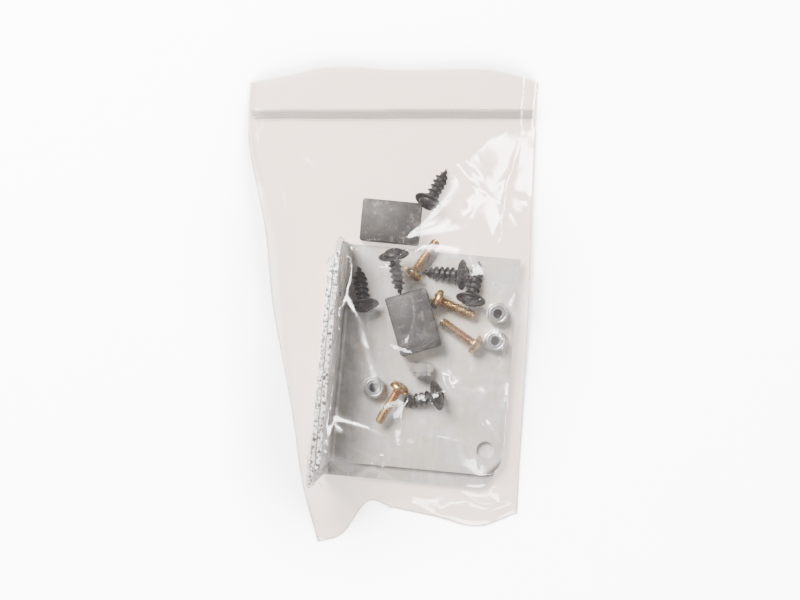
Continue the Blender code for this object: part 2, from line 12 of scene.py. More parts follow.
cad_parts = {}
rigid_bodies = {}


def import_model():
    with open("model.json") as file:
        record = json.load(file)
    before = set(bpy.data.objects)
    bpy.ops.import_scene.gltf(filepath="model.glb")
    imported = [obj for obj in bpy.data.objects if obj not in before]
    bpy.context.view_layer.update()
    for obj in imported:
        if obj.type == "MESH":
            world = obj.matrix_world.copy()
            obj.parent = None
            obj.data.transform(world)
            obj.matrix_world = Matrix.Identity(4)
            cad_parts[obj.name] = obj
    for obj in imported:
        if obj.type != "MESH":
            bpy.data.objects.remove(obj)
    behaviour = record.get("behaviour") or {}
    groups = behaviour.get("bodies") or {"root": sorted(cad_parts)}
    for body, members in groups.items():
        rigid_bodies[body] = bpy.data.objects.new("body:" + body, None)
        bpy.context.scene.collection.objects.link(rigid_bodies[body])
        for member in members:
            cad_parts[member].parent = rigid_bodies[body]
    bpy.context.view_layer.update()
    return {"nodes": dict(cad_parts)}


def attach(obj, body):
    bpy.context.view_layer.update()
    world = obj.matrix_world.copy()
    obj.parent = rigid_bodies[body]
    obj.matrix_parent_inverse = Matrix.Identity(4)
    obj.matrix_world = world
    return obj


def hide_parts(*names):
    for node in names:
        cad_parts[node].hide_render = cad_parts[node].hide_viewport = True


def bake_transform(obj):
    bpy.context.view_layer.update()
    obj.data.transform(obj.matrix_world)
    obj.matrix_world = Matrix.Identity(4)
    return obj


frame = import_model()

# ---- sizes, in metres ----

BAG_WIDTH = 0.133
BAG_LENGTH = 0.218
ZIP_Y = BAG_LENGTH / 2 - 0.0218
HINGE_Y = ZIP_Y - 0.0062
GRIP_LINE_Y = ZIP_Y + 0.0098
SEAM_WIDTH = 0.0022

WOOD_LENGTH = 0.0185
WOOD_HEAD_RADIUS = 0.0069
WOOD_RIM = 0.0010
WOOD_DOME_RADIUS = 0.0046
WOOD_DOME_HEIGHT = 0.0026
WOOD_CORE_RADIUS = 0.0021
WOOD_THREAD_DEPTH = 0.00125
WOOD_THREAD_PITCH = 0.0026
WOOD_POINT_LENGTH = 0.006

MACHINE_LENGTH = 0.0178
MACHINE_RADIUS = 0.0023
MACHINE_THREAD_DEPTH = 0.00058
MACHINE_THREAD_PITCH = 0.00106
MACHINE_HEAD_RADIUS = 0.0046
MACHINE_HEAD_HEIGHT = 0.0030

DRIVE_DEPTH = 0.0017
DRIVE_HALF_WIDTH = 0.00052

NUT_ACROSS_FLATS = 0.0095
NUT_HEX_HEIGHT = 0.0042
NUT_COLLAR_HEIGHT = 0.0018
NUT_COLLAR_RADIUS = 0.0043
NUT_BORE = 0.0024
INSERT_HEIGHT = 0.0012
INSERT_RADIUS = 0.0032

ZIP_WIDTH = 0.0046
ZIP_BASE = 0.0007
ZIP_TOP = 0.0025
LIP_HEIGHT = 0.0038  # of the front film over the zip

FILM_MIRROR = 0.046  # the share of light that the film mirrors when seen straight on
FILM_GAP = 0.0004  # from the contents to the film over them
COLUMNS = 110
ROWS = 170
FINE_COLUMNS = 183  # in the finished film
ROWS_BELOW_ZIP = 300
ROWS_OVER_ZIP = 126
DENSE_FROM = 0.845  # of the way up the bag, where the rows close up
SIM_SCALE = 15.0  # the film is simulated this much larger, as the solver suits metres
SIM_FRAMES = 22
SIM_SLACK = 0.012
TIGHTENING = 400  # rounds in which the film is first pulled tight
SMOOTHING = 14

# The outline of the bag as it lies, in shares of half its width and half its length.
LEFT_EDGE = (
    (-0.52, -1.0),
    (-0.63, -0.75),
    (-0.70, -0.45),
    (-0.82, -0.02),
    (-0.87, 0.30),
    (-0.985, 0.64),
    (-1.0, 0.80),
    (-0.985, 0.932),
)
RIGHT_EDGE = (
    (0.85, -0.88),
    (0.865, -0.70),
    (0.895, -0.40),
    (0.93, 0.0),
    (0.95, 0.40),
    (0.985, 0.80),
    (1.0, 0.932),
)
BOTTOM_EDGE = (
    (-0.52, -1.0),
    (-0.355, -0.965),
    (-0.18, -0.83),
    (0.0, -0.857),
    (0.29, -0.895),
    (0.58, -0.935),
    (0.85, -0.88),
)
TOP_EDGE = (
    (-0.985, 0.932),
    (-0.72, 0.965),
    (-0.40, 1.0),
    (0.07, 0.985),
    (0.60, 0.99),
    (0.85, 0.962),
    (1.0, 0.932),
)

PLATES = ("angle_plate_lower", "angle_plate_upper")
BLOCKS = ("spacer_block_1", "spacer_block_2")
WOOD_SCREWS = tuple(f"wood_screw_{k}" for k in range(1, 7))
MACHINE_SCREWS = tuple(f"machine_screw_{k}" for k in range(1, 5))
LOCK_NUTS = tuple(f"lock_nut_{k}" for k in range(1, 5))
CONTENTS = PLATES + BLOCKS + WOOD_SCREWS + MACHINE_SCREWS + LOCK_NUTS


# ---- node groups shared by the materials ----


class Nodes:
    """A short way to add nodes to a tree and link them."""

    def __init__(self, tree):
        self.tree = tree

    def add(self, kind, **settings):
        """A new node with its settings."""
        node = self.tree.nodes.new(kind)
        for name, value in settings.items():
            setattr(node, name, value)
        return node

    def link(self, output, socket):
        """Links one node's output to another's input."""
        self.tree.links.new(output, socket)

    def feed(self, node, **values):
        """Sets or links a node's inputs by name, with an underscore for each space."""
        for name, value in values.items():
            socket = node.inputs[name.replace("_", " ")]
            if isinstance(value, bpy.types.NodeSocket):
                self.link(value, socket)
            else:
                socket.default_value = value
        return node

    def noise(self, vector, scale, detail=3.0, roughness=0.55, distortion=0.0):
        """The value of a noise texture."""
        node = self.add("ShaderNodeTexNoise")
        self.feed(node, Vector=vector, Scale=scale, Detail=detail, Roughness=roughness, Distortion=distortion)
        return node.outputs["Fac"]

    def ramp(self, value, low, high, to_low=0.0, to_high=1.0):
        """A value brought smoothly from one range into another, and held at its ends."""
        node = self.add("ShaderNodeMapRange", interpolation_type="SMOOTHSTEP")
        self.feed(node, Value=value, From_Min=low, From_Max=high, To_Min=to_low, To_Max=to_high)
        return node.outputs["Result"]

    def maths(self, kind, first, second=None):
        """The result of a sum on one or two values."""
        node = self.add("ShaderNodeMath", operation=kind)
        for socket, value in zip(node.inputs, (first, second)):
            if isinstance(value, (int, float)):
                socket.default_value = value
            elif value is not None:
                self.link(value, socket)
        return node.outputs[0]

    def mix(self, share, first, second):
        """A colour between two others."""
        node = self.add("ShaderNodeMix", data_type="RGBA")
        for socket, value in zip((node.inputs[0], node.inputs[6], node.inputs[7]), (share, first, second)):
            if isinstance(value, (int, float)):
                socket.default_value = value
            elif isinstance(value, tuple):
                socket.default_value = (*value, 1.0)
            else:
                self.link(value, socket)
        return node.outputs[2]

    def bump(self, height, strength, distance):
        """The normal of a surface with this relief."""
        node = self.add("ShaderNodeBump")
        self.feed(node, Height=height, Strength=strength, Distance=distance)
        return node.outputs["Normal"]


def group(name, inputs, outputs, kind="ShaderNodeTree"):
    """A node group with named sockets. Gives (tree, Nodes, input node, output node)."""
    tree = bpy.data.node_groups.new(name, kind)
    for label, socket_type, value in inputs:
        socket = tree.interface.new_socket(label, in_out="INPUT", socket_type=socket_type)
        if value is not None:
            socket.default_value = value
    for label, socket_type in outputs:
        tree.interface.new_socket(label, in_out="OUTPUT", socket_type=socket_type)
    nodes = Nodes(tree)
    return tree, nodes, nodes.add("NodeGroupInput"), nodes.add("NodeGroupOutput")


def scratches_group():
    """Fine scratches in two directions, as a mask."""
    tree, n, given, out = group(
        "fine_scratches",
        [("Vector", "NodeSocketVector", None), ("Scale", "NodeSocketFloat", 400.0)],
        [("Mask", "NodeSocketFloat")],
    )
    masks = []
    for angle, stretch in ((0.5, 22.0), (-0.9, 30.0)):
        turn = n.add("ShaderNodeMapping")
        n.feed(turn, Vector=given.outputs["Vector"], Rotation=(0.2, 0.1, angle), Scale=(1.0, stretch, 1.0))
        lines = n.add("ShaderNodeTexNoise")
        n.feed(lines, Vector=turn.outputs["Vector"], Scale=given.outputs["Scale"], Detail=2.0)
        masks.append(n.ramp(lines.outputs["Fac"], 0.62, 0.70))
    n.link(n.maths("MAXIMUM", *masks), out.inputs["Mask"])
    return tree


def worn_edges_group():
    """A mask of the worn outer edges of a piece, broken up by noise."""
    tree, n, given, out = group(
        "worn_edges",
        [("Vector", "NodeSocketVector", None), ("Radius", "NodeSocketFloat", 0.0004)],
        [("Mask", "NodeSocketFloat")],
    )
    bevel = n.add("ShaderNodeBevel", samples=4)
    n.link(given.outputs["Radius"], bevel.inputs["Radius"])
    geometry = n.add("ShaderNodeNewGeometry")
    dot = n.add("ShaderNodeVectorMath", operation="DOT_PRODUCT")
    n.link(bevel.outputs["Normal"], dot.inputs[0])
    n.link(geometry.outputs["Normal"], dot.inputs[1])
    edge = n.ramp(dot.outputs["Value"], 0.995, 0.86)
    broken = n.ramp(n.noise(given.outputs["Vector"], 900.0, 4.0), 0.35, 0.6)
    n.link(n.maths("MULTIPLY", edge, broken), out.inputs["Mask"])
    return tree


def dust_group():
    """Sparse pale specks and smears, as a mask."""
    tree, n, given, out = group(
        "dust",
        [("Vector", "NodeSocketVector", None), ("Amount", "NodeSocketFloat", 0.5)],
        [("Mask", "NodeSocketFloat")],
    )
    cells = n.feed(n.add("ShaderNodeTexVoronoi"), Vector=given.outputs["Vector"], Scale=700.0)
    specks = n.ramp(cells.outputs["Distance"], 0.16, 0.08)
    patchy = n.ramp(n.noise(given.outputs["Vector"], 160.0, 3.0), 0.5, 0.66)
    smear = n.ramp(n.noise(given.outputs["Vector"], 260.0, 5.0, 0.7), 0.52, 0.72, 0.0, 0.45)
    both = n.maths("MAXIMUM", n.maths("MULTIPLY", specks, patchy), smear)
    n.link(n.maths("MULTIPLY", both, given.outputs["Amount"]), out.inputs["Mask"])
    return tree


SCRATCHES = scratches_group()
WORN_EDGES = worn_edges_group()
DUST = dust_group()


def use(n, tree, **values):
    """A node group in a material, with its inputs linked or set."""
    return n.feed(n.add("ShaderNodeGroup", node_tree=tree), **values).outputs[0]


def start_material(name):
    """A new material. Gives it, its Nodes, its Principled shader and Object coordinates."""
    material = bpy.data.materials.new(name)
    material.use_nodes = True
    n = Nodes(material.node_tree)
    shader = material.node_tree.nodes["Principled BSDF"]
    place = n.add("ShaderNodeTexCoord").outputs["Object"]
    return material, n, shader, place


# ---- metal, rubber and nylon ----


def zinc_material(name, bright, spangle, corners, metal=0.50, roughness=0.34, relief=0.35):
    """Zinc plate: faint crystals, rolled streaks, stains, scuffs and brighter worn edges.

    Its inner corners get painted shade, darkened towards black where other faces close round. corners gives
    how far they look round for other faces, the open shares at which it is darkest and clear, and how dark it
    gets.
    """
    material, n, shader, place = start_material(name)
    cells = n.feed(n.add("ShaderNodeTexVoronoi"), Vector=place, Scale=spangle)
    tone = n.feed(n.add("ShaderNodeSeparateColor"), Color=cells.outputs["Color"])
    cloud = n.noise(place, 70.0, 5.0, 0.6)
    fine = n.noise(place, 900.0, 3.0, 0.6)
    scratched = use(n, SCRATCHES, Vector=place, Scale=260.0)
    worn = use(n, WORN_EDGES, Vector=place, Radius=0.0005)
    low = tuple(c * 0.80 for c in bright)
    colour = n.mix(n.ramp(tone.outputs["Red"], 0.0, 1.0, 0.15, 0.85), low, bright)
    colour = n.mix(n.ramp(cloud, 0.42, 0.60, 0.0, 0.60), colour, (0.55, 0.57, 0.58))
    rolled = n.feed(n.add("ShaderNodeMapping"), Vector=place, Scale=(1.0, 0.12, 1.0))
    streaks = n.noise(rolled.outputs["Vector"], 420.0, 4.0, 0.6)
    colour = n.mix(n.ramp(streaks, 0.40, 0.66, 0.0, 0.35), colour, (0.50, 0.52, 0.53))
    stains = n.noise(place, 45.0, 5.0, 0.7, 0.6)
    colour = n.mix(n.ramp(stains, 0.44, 0.60, 0.0, 0.50), colour, (0.66, 0.575, 0.46))
    reach, darkest, clear, most = corners
    # painted shade: an occlusion mask darkens inner corners, recesses and sides near other faces towards near
    # black
    painted_shade_probe = n.add("ShaderNodeAmbientOcclusion", samples=6, only_local=True)
    painted_shade_probe.inputs["Distance"].default_value = reach
    corner = n.ramp(painted_shade_probe.outputs["AO"], darkest, clear, most, 0.0)
    colour = n.mix(corner, colour, (0.06, 0.06, 0.06))
    colour = n.mix(n.maths("MULTIPLY", worn, 0.8), colour, (0.90, 0.90, 0.89))
    grain = n.ramp(fine, 0.3, 0.7, 0.0, 0.10)
    rough = n.maths("ADD", n.ramp(cloud, 0.3, 0.7, roughness, roughness * 1.5), grain)
    rough = n.maths("ADD", rough, n.maths("MULTIPLY", scratched, 0.12))
    height = n.maths("ADD", n.maths("MULTIPLY", fine, 0.5), n.maths("MULTIPLY", scratched, -0.6))
    height = n.maths("ADD", height, n.maths("MULTIPLY", tone.outputs["Green"], 0.25))
    normal = n.bump(height, relief, 0.00006)
    n.feed(shader, Base_Color=colour, Metallic=metal, Roughness=rough, Normal=normal)
    return material


def sheared_edge_highlight_material():
    """The torn-looking edge where the plate was sheared, made near white as a painted highlight on the narrow
    faces that face up.
    """
    material, n, shader, place = start_material("sheared_edge_highlight")
    speck = n.noise(place, 750.0, 4.0, 0.75)
    cloud = n.noise(place, 200.0, 2.0)
    # painted highlight: the speckled edge is lifted to near white
    colour = n.mix(n.ramp(speck, 0.43, 0.55), (0.06, 0.06, 0.06), (1.0, 1.0, 0.99))
    colour = n.mix(n.ramp(cloud, 0.5, 0.7, 0.0, 0.3), colour, (0.6, 0.6, 0.6))
    rough = n.ramp(speck, 0.3, 0.7, 0.55, 0.35)
    n.feed(shader, Base_Color=colour, Metallic=0.6, Roughness=rough, Normal=n.bump(speck, 0.8, 0.0002))
    return material


def yellow_zinc_material():
    """Yellow-passivated zinc, with a rosy bloom and paler worn edges."""
    material, n, shader, place = start_material("yellow_zinc")
    bloom = n.noise(place, 240.0, 4.0, 0.6, 0.4)
    fine = n.noise(place, 1500.0, 3.0)
    worn = use(n, WORN_EDGES, Vector=place, Radius=0.0003)
    colour = n.mix(n.ramp(bloom, 0.40, 0.66), (0.44, 0.31, 0.12), (0.48, 0.27, 0.13))
    colour = n.mix(n.ramp(n.noise(place, 130.0, 3.0), 0.5, 0.7, 0.0, 0.6), colour, (0.56, 0.43, 0.20))
    colour = n.mix(n.maths("MULTIPLY", worn, 0.4), colour, (0.80, 0.66, 0.42))
    rough = n.ramp(fine, 0.3, 0.7, 0.22, 0.40)
    n.feed(shader, Base_Color=colour, Metallic=1.0, Roughness=rough, Normal=n.bump(fine, 0.12, 0.00002))
    return material


def black_steel_material():
    """Black phosphate on steel: near black, a blue cast, dusty, grey at worn edges."""
    material, n, shader, place = start_material("black_steel")
    patch = n.noise(place, 300.0, 5.0, 0.65)
    fine = n.noise(place, 2200.0, 3.0)
    worn = use(n, WORN_EDGES, Vector=place, Radius=0.0003)
    dusty = use(n, DUST, Vector=place, Amount=0.12)
    colour = n.mix(n.ramp(patch, 0.35, 0.65), (0.006, 0.006, 0.007), (0.017, 0.016, 0.018))
    colour = n.mix(n.maths("MULTIPLY", worn, 0.5), colour, (0.12, 0.12, 0.13))
    colour = n.mix(dusty, colour, (0.20, 0.19, 0.18))
    rough = n.ramp(patch, 0.3, 0.7, 0.34, 0.56)
    n.feed(shader, Base_Color=colour, Metallic=0.15, Specular_IOR_Level=0.35)
    n.feed(shader, Roughness=rough, Normal=n.bump(fine, 0.3, 0.00004))
    return material


def block_material():
    """Dark grey rubber with a fine grain, scuffs and pale specks."""
    material, n, shader, place = start_material("block_rubber")
    cloud = n.noise(place, 110.0, 5.0, 0.6)
    grain = n.noise(place, 1700.0, 4.0, 0.65)
    worn = use(n, WORN_EDGES, Vector=place, Radius=0.0006)
    dusty = use(n, DUST, Vector=place, Amount=0.8)
    colour = n.mix(n.ramp(cloud, 0.35, 0.65), (0.026, 0.026, 0.029), (0.052, 0.050, 0.048))
    colour = n.mix(n.maths("MULTIPLY", worn, 0.35), colour, (0.20, 0.20, 0.20))
    colour = n.mix(dusty, colour, (0.30, 0.28, 0.26))
    rough = n.ramp(grain, 0.3, 0.7, 0.50, 0.75)
    n.feed(shader, Base_Color=colour, Roughness=rough, Normal=n.bump(grain, 0.5, 0.00012))
    return material


def nylon_material():
    """Smoky blue-grey nylon, a little translucent."""
    material, n, shader, place = start_material("nylon")
    cloud = n.noise(place, 700.0, 3.0)
    colour = n.mix(n.ramp(cloud, 0.3, 0.7), (0.15, 0.16, 0.18), (0.23, 0.25, 0.28))
    rough = n.ramp(cloud, 0.3, 0.7, 0.38, 0.52)
    n.feed(shader, Base_Color=colour, Subsurface_Weight=0.3, Subsurface_Scale=0.0008)
    n.feed(shader, Roughness=rough, Normal=n.bump(cloud, 0.2, 0.00005))
    return material


# ---- the film ----


def blended(n, share, first, second):
    """A shader between two others."""
    node = n.add("ShaderNodeMixShader")
    for socket, value in zip(node.inputs, (share, first, second)):
        n.link(value, socket)
    return node.outputs[0]


def film_material(name, haze, tint, gloss, rim=0.10):
    """Milky polythene: clear, with a pale haze, a sharp gloss and fine handling marks.

    rim is how much milkier it gets where it is seen edge on.
    """
    material, n, shader, place = start_material(name)
    crinkle = n.noise(place, 420.0, 4.0, 0.6, 0.3)
    cloud = n.noise(place, 60.0, 4.0, 0.6)
    scuffs = use(n, SCRATCHES, Vector=place, Scale=150.0)
    edge = n.add("ShaderNodeAttribute", attribute_name="seal").outputs["Fac"]
    colour = n.mix(n.ramp(cloud, 0.35, 0.65), (0.83, 0.755, 0.70), (0.87, 0.80, 0.755))
    rough = n.maths("ADD", n.ramp(crinkle, 0.3, 0.7, gloss, gloss + 0.10), n.maths("MULTIPLY", scuffs, 0.12))
    normal = n.bump(crinkle, 0.05, 0.00008)
    n.feed(shader, Base_Color=colour, Roughness=rough, IOR=1.51, Normal=normal)
    clear = n.feed(n.add("ShaderNodeBsdfTransparent"), Color=(*tint, 1.0))
    gloss_shader = n.feed(n.add("ShaderNodeBsdfGlossy"), Roughness=rough, Normal=normal)
    facing = n.feed(n.add("ShaderNodeLayerWeight"), Blend=0.5, Normal=normal)
    grazing = n.maths("MULTIPLY", n.maths("POWER", facing.outputs["Facing"], 5.0), 1 - FILM_MIRROR)
    mirror = n.maths("ADD", grazing, FILM_MIRROR)
    milky = n.ramp(cloud, 0.3, 0.7, haze * 0.8, haze * 1.2)
    milky = n.maths("ADD", milky, n.maths("MULTIPLY", scuffs, 0.015))
    milky = n.maths("ADD", milky, n.maths("MULTIPLY", edge, 0.22))
    milky = n.maths("ADD", milky, n.maths("MULTIPLY", facing.outputs["Facing"], rim))
    body = blended(n, milky, clear.outputs[0], shader.outputs[0])
    coated = blended(n, mirror, body, gloss_shader.outputs[0])
    output = next(x for x in material.node_tree.nodes if x.type == "OUTPUT_MATERIAL")
    n.link(coated, output.inputs["Surface"])
    return material


# ---- mesh helpers ----


def node_points(name):
    """The points of a CAD node's mesh, in metres."""
    mesh = frame["nodes"][name].data
    points = np.zeros(len(mesh.vertices) * 3, np.float32)
    mesh.vertices.foreach_get("co", points)
    return points.reshape(-1, 3).astype(float)


def new_object(name, mesh, *materials):
    """A mesh in the scene with its materials."""
    thing = bpy.data.objects.new(name, mesh)
    mesh.materials.clear()
    for material in materials:
        mesh.materials.append(material)
    bpy.context.scene.collection.objects.link(thing)
    return thing


def finish_mesh(bm, name, angle=30):
    """The bmesh as a mesh, smooth except at its sharp edges."""
    mesh = bpy.data.meshes.new(name)
    bm.normal_update()
    bm.to_mesh(mesh)
    bm.free()
    mesh.shade_smooth()
    mesh.set_sharp_from_angle(angle=math.radians(angle))
    return mesh


def turned(profile, segments):
    """A bmesh turned about Z from (radius, height) points, closed at the axis."""
    bm = bmesh.new()
    points = [bm.verts.new((r, 0, z)) for r, z in profile]
    edges = [bm.edges.new(pair) for pair in zip(points, points[1:])]
    if profile[0][0] > 0:
        edges.append(bm.edges.new((points[-1], points[0])))
    bmesh.ops.spin(
        bm,
        geom=points + edges,
        axis=(0, 0, 1),
        cent=(0, 0, 0),
        angle=math.tau,
        steps=segments,
        use_merge=True,
    )
    bmesh.ops.remove_doubles(bm, verts=bm.verts, dist=1e-7)
    bmesh.ops.dissolve_degenerate(bm, edges=bm.edges, dist=1e-8)
    bmesh.ops.recalc_face_normals(bm, faces=bm.faces)
    return bm


def prism(outline, low, high):
    """A bmesh of a flat outline made solid between two heights."""
    bm = bmesh.new()
    face = bm.faces.new([bm.verts.new((x, y, low)) for x, y in outline])
    made = bmesh.ops.extrude_face_region(bm, geom=[face])["geom"]
    top = [v for v in made if isinstance(v, bmesh.types.BMVert)]
    bmesh.ops.translate(bm, verts=top, vec=(0, 0, high - low))
    bmesh.ops.recalc_face_normals(bm, faces=bm.faces)
    return bm


def cut(mesh, cutter, operation="DIFFERENCE"):
    """The mesh with the cutter taken away, or with only what both share."""
    tool_mesh = bpy.data.meshes.new("tool")
    cutter.to_mesh(tool_mesh)
    cutter.free()
    body = bpy.data.objects.new("body", mesh)
    tool = bpy.data.objects.new("tool", tool_mesh)
    for thing in (body, tool):
        bpy.context.scene.collection.objects.link(thing)
    modifier = body.modifiers.new("cut", "BOOLEAN")
    modifier.operation = operation
    modifier.object = tool
    bpy.context.view_layer.update()
    result = bpy.data.meshes.new_from_object(body.evaluated_get(bpy.context.evaluated_depsgraph_get()))
    for thing in (body, tool):
        bpy.data.objects.remove(thing, do_unlink=True)
    result.shade_smooth()
    result.set_sharp_from_angle(angle=math.radians(32))
    return result


def arc(centre, radius, start, end, steps):
    """Points on an arc, its angles in degrees."""
    turns = [math.radians(start + (end - start) * k / steps) for k in range(steps + 1)]
    return [(centre[0] + radius * math.cos(a), centre[1] + radius * math.sin(a)) for a in turns]


def recess_tool(reach, low, top):
    """A tapered cross for a screw's drive, narrower at its floor."""
    bm = bmesh.new()
    levels = []
    for z, share in ((low, 0.45), (low + (top - low) * 0.25, 0.75), (top + 0.001, 1.15)):
        wide, half = reach * share, DRIVE_HALF_WIDTH * (0.7 + 0.3 * share)
        ring = []
        for quarter in range(4):
            c, s = round(math.cos(quarter * math.pi / 2)), round(math.sin(quarter * math.pi / 2))
            for x, y in ((wide, -half), (wide, half), (half, half)):
                ring.append(bm.verts.new((c * x - s * y, s * x + c * y, z)))
        levels.append(ring)
    for lower, upper in zip(levels, levels[1:]):
        for k in range(12):
            bm.faces.new((lower[k], lower[(k + 1) % 12], upper[(k + 1) % 12], upper[k]))
    bm.faces.new(levels[0][::-1])
    bm.faces.new(levels[-1])
    bmesh.ops.recalc_face_normals(bm, faces=bm.faces)
    return bm


# ---- where the CAD pieces lie ----


def place_along_axis(name, top_height):
    """The matrix of a turned piece whose local +Z is its head end, from its CAD node."""
    points = node_points(name)
    centre = points.mean(axis=0)
    axis = np.linalg.svd(points - centre, full_matrices=False)[2][0]
    reach = (points - centre) @ axis
    across = np.linalg.norm(points - centre - np.outer(reach, axis), axis=1)
    if reach[across.argmax()] < (reach.max() + reach.min()) / 2:
        axis = -axis
    centre = points[across > across.max() * 0.985].mean(axis=0)
    reach = (points - centre) @ axis
    origin = centre + axis * (reach.max() - top_height)
    turn = Vector(axis).to_track_quat("Z", "Y").to_matrix().to_4x4()
    return Matrix.Translation(origin) @ turn


def place_nut(name):
    """The matrix of a lock nut: its local +Z is the collar end, its +X a corner."""
    points = node_points(name)
    low, high = points.min(axis=0), points.max(axis=0)
    centre = (low + high) / 2
    ring = node_points(name.replace("nut", "nut_insert"))
    collar = ring.mean(axis=0) - centre
    axis = np.array([0.0, 0.0, 1.0])
    if abs(collar[2]) < 0.001:
        axis = collar / np.linalg.norm(collar)
    flat = points - centre - np.outer((points - centre) @ axis, axis)
    corner = flat[np.linalg.norm(flat, axis=1).argmax()]
    x = corner / np.linalg.norm(corner)
    y = np.cross(axis, x)
    base = centre + axis * ((points - centre) @ axis).min()
    return Matrix([[x[k], y[k], axis[k], base[k]] for k in range(3)] + [[0, 0, 0, 1]])


def show(name, mesh, matrix, material):
    """A finished piece in the CAD node's place, riding on its body."""
    own = mesh.copy()
    own.transform(matrix)
    piece = new_object(f"{name}_look", own, material)
    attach(piece, name.replace("nut_insert", "nut"))
    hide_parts(name)


# ---- the loose pieces ----


def threaded_shank_tree():
    """A closed, threaded shank hanging from the origin, with a tapered point."""
    sizes = ["Length", "Root Radius", "Thread Depth", "Thread Pitch", "Crest Share"]
    inputs = [(label, "NodeSocketFloat", None) for label in sizes + ["Point Length", "Point Share"]]
    inputs += [(label, "NodeSocketInt", None) for label in ("Sides", "Rings")]
    inputs += [("Material", "NodeSocketMaterial", None)]
    tree, n, start, out = group(
        "threaded_shank",
        inputs,
        [("Geometry", "NodeSocketGeometry")],
        "GeometryNodeTree",
    )
    given = start.outputs
    tube = n.add("GeometryNodeMeshCylinder", fill_type="TRIANGLE_FAN")
    n.feed(tube, Vertices=given["Sides"], Side_Segments=given["Rings"])
    n.feed(tube, Radius=given["Root Radius"], Depth=given["Length"])
    place = n.add("ShaderNodeSeparateXYZ")
    n.link(n.add("GeometryNodeInputPosition").outputs[0], place.inputs[0])
    x, y, z = place.outputs
    depth = n.maths("SUBTRACT", n.maths("MULTIPLY", given["Length"], 0.5), z)
    turn = n.maths("DIVIDE", n.maths("ARCTAN2", y, x), math.tau)
    phase = n.maths("FRACT", n.maths("SUBTRACT", n.maths("DIVIDE", depth, given["Thread Pitch"]), turn))
    from_crest = n.maths("DIVIDE", n.maths("ABSOLUTE", n.maths("SUBTRACT", phase, 0.5)), given["Crest Share"])
    ridge = n.maths("MAXIMUM", n.maths("SUBTRACT", 1.0, from_crest), 0.0)
    left = n.maths("SUBTRACT", given["Length"], depth)
    to_tip = n.maths("MINIMUM", n.maths("DIVIDE", left, given["Point Length"]), 1.0)
    run_in = n.maths("MINIMUM", n.maths("DIVIDE", depth, given["Thread Pitch"]), 1.0)
    run_out = n.maths("MINIMUM", n.maths("ADD", to_tip, 0.2), 1.0)
    lost = n.maths("SUBTRACT", 1.0, given["Point Share"])
    taper = n.maths("MULTIPLY", n.maths("SUBTRACT", 1.0, to_tip), lost)
    root = n.maths("MULTIPLY", given["Root Radius"], n.maths("SUBTRACT", 1.0, taper))
    crest = n.maths("MULTIPLY", ridge, given["Thread Depth"])
    crest = n.maths("MULTIPLY", crest, n.maths("MULTIPLY", run_in, run_out))
    grow = n.maths("DIVIDE", n.maths("ADD", root, crest), given["Root Radius"])
    moved = n.add("ShaderNodeCombineXYZ")
    n.feed(moved, X=n.maths("MULTIPLY", x, grow), Y=n.maths("MULTIPLY", y, grow))
    n.feed(moved, Z=n.maths("MULTIPLY", depth, -1.0))
    shaped = n.add("GeometryNodeSetPosition")
    n.feed(shaped, Geometry=tube.outputs["Mesh"], Position=moved.outputs[0])
    n.link(finished_by(n, shaped.outputs[0], given["Material"]), out.inputs["Geometry"])
    return tree


def finished_by(n, geometry, material):
    """Ends a geometry tree: everything made real and given its material."""
    real = n.feed(n.add("GeometryNodeRealizeInstances"), Geometry=geometry)
    coated = n.add("GeometryNodeSetMaterial")
    n.feed(coated, Geometry=real.outputs["Geometry"], Material=material)
    return coated.outputs["Geometry"]


def mesh_from_tree(tree, start_mesh, **values):
    """The plain mesh that a geometry tree makes with these inputs."""
    thing = bpy.data.objects.new(tree.name, start_mesh or bpy.data.meshes.new(tree.name))
    bpy.context.scene.collection.objects.link(thing)
    modifier = thing.modifiers.new("made", "NODES")
    modifier.node_group = tree
    labels = {item.name: item.identifier for item in tree.interface.items_tree if item.in_out == "INPUT"}
    for label, value in values.items():
        modifier[labels[label.replace("_", " ")]] = value
    bpy.context.view_layer.update()
    made = bpy.data.meshes.new_from_object(thing.evaluated_get(bpy.context.evaluated_depsgraph_get()))
    bpy.data.objects.remove(thing, do_unlink=True)
    made.shade_smooth()
    return made


def joined(first, second, name):
    """One mesh of two, the second left as it is."""
    bm = bmesh.new()
    bm.from_mesh(first)
    bm.from_mesh(second)
    return finish_mesh(bm, name, 38)


def wood_screw_mesh(shank_tree, material):
    """A coarse-threaded screw with a washer head, its head at +Z."""
    rim, top = WOOD_RIM, WOOD_RIM + WOOD_DOME_HEIGHT
    dome = [
        (WOOD_DOME_RADIUS * math.cos(a), rim * 1.1 + (top - rim * 1.1) * math.sin(a))
        for a in (math.pi / 2 * k / 12 for k in range(12))
    ]
    edge = arc((WOOD_HEAD_RADIUS - rim * 0.45, rim * 0.5), rim * 0.45, 90, -90, 8)
    head = [(0, top)] + dome[::-1] + [(WOOD_DOME_RADIUS * 1.10, rim * 1.02)] + edge
    head += [(WOOD_CORE_RADIUS * 1.45, 0), (WOOD_CORE_RADIUS * 0.9, -0.0007), (0, -0.0007)]
    head_mesh = finish_mesh(turned(head, 56), "wood_screw_head")
    head_mesh = cut(head_mesh, recess_tool(WOOD_DOME_RADIUS * 0.52, top - DRIVE_DEPTH, top))
    shank = mesh_from_tree(
        shank_tree,
        None,
        Length=WOOD_LENGTH,
        Root_Radius=WOOD_CORE_RADIUS,
        Thread_Depth=WOOD_THREAD_DEPTH,
        Thread_Pitch=WOOD_THREAD_PITCH,
        Crest_Share=0.21,
        Point_Length=WOOD_POINT_LENGTH,
        Point_Share=0.08,
        Sides=40,
        Rings=120,
        Material=material,
    )
    return joined(head_mesh, shank, "wood_screw")


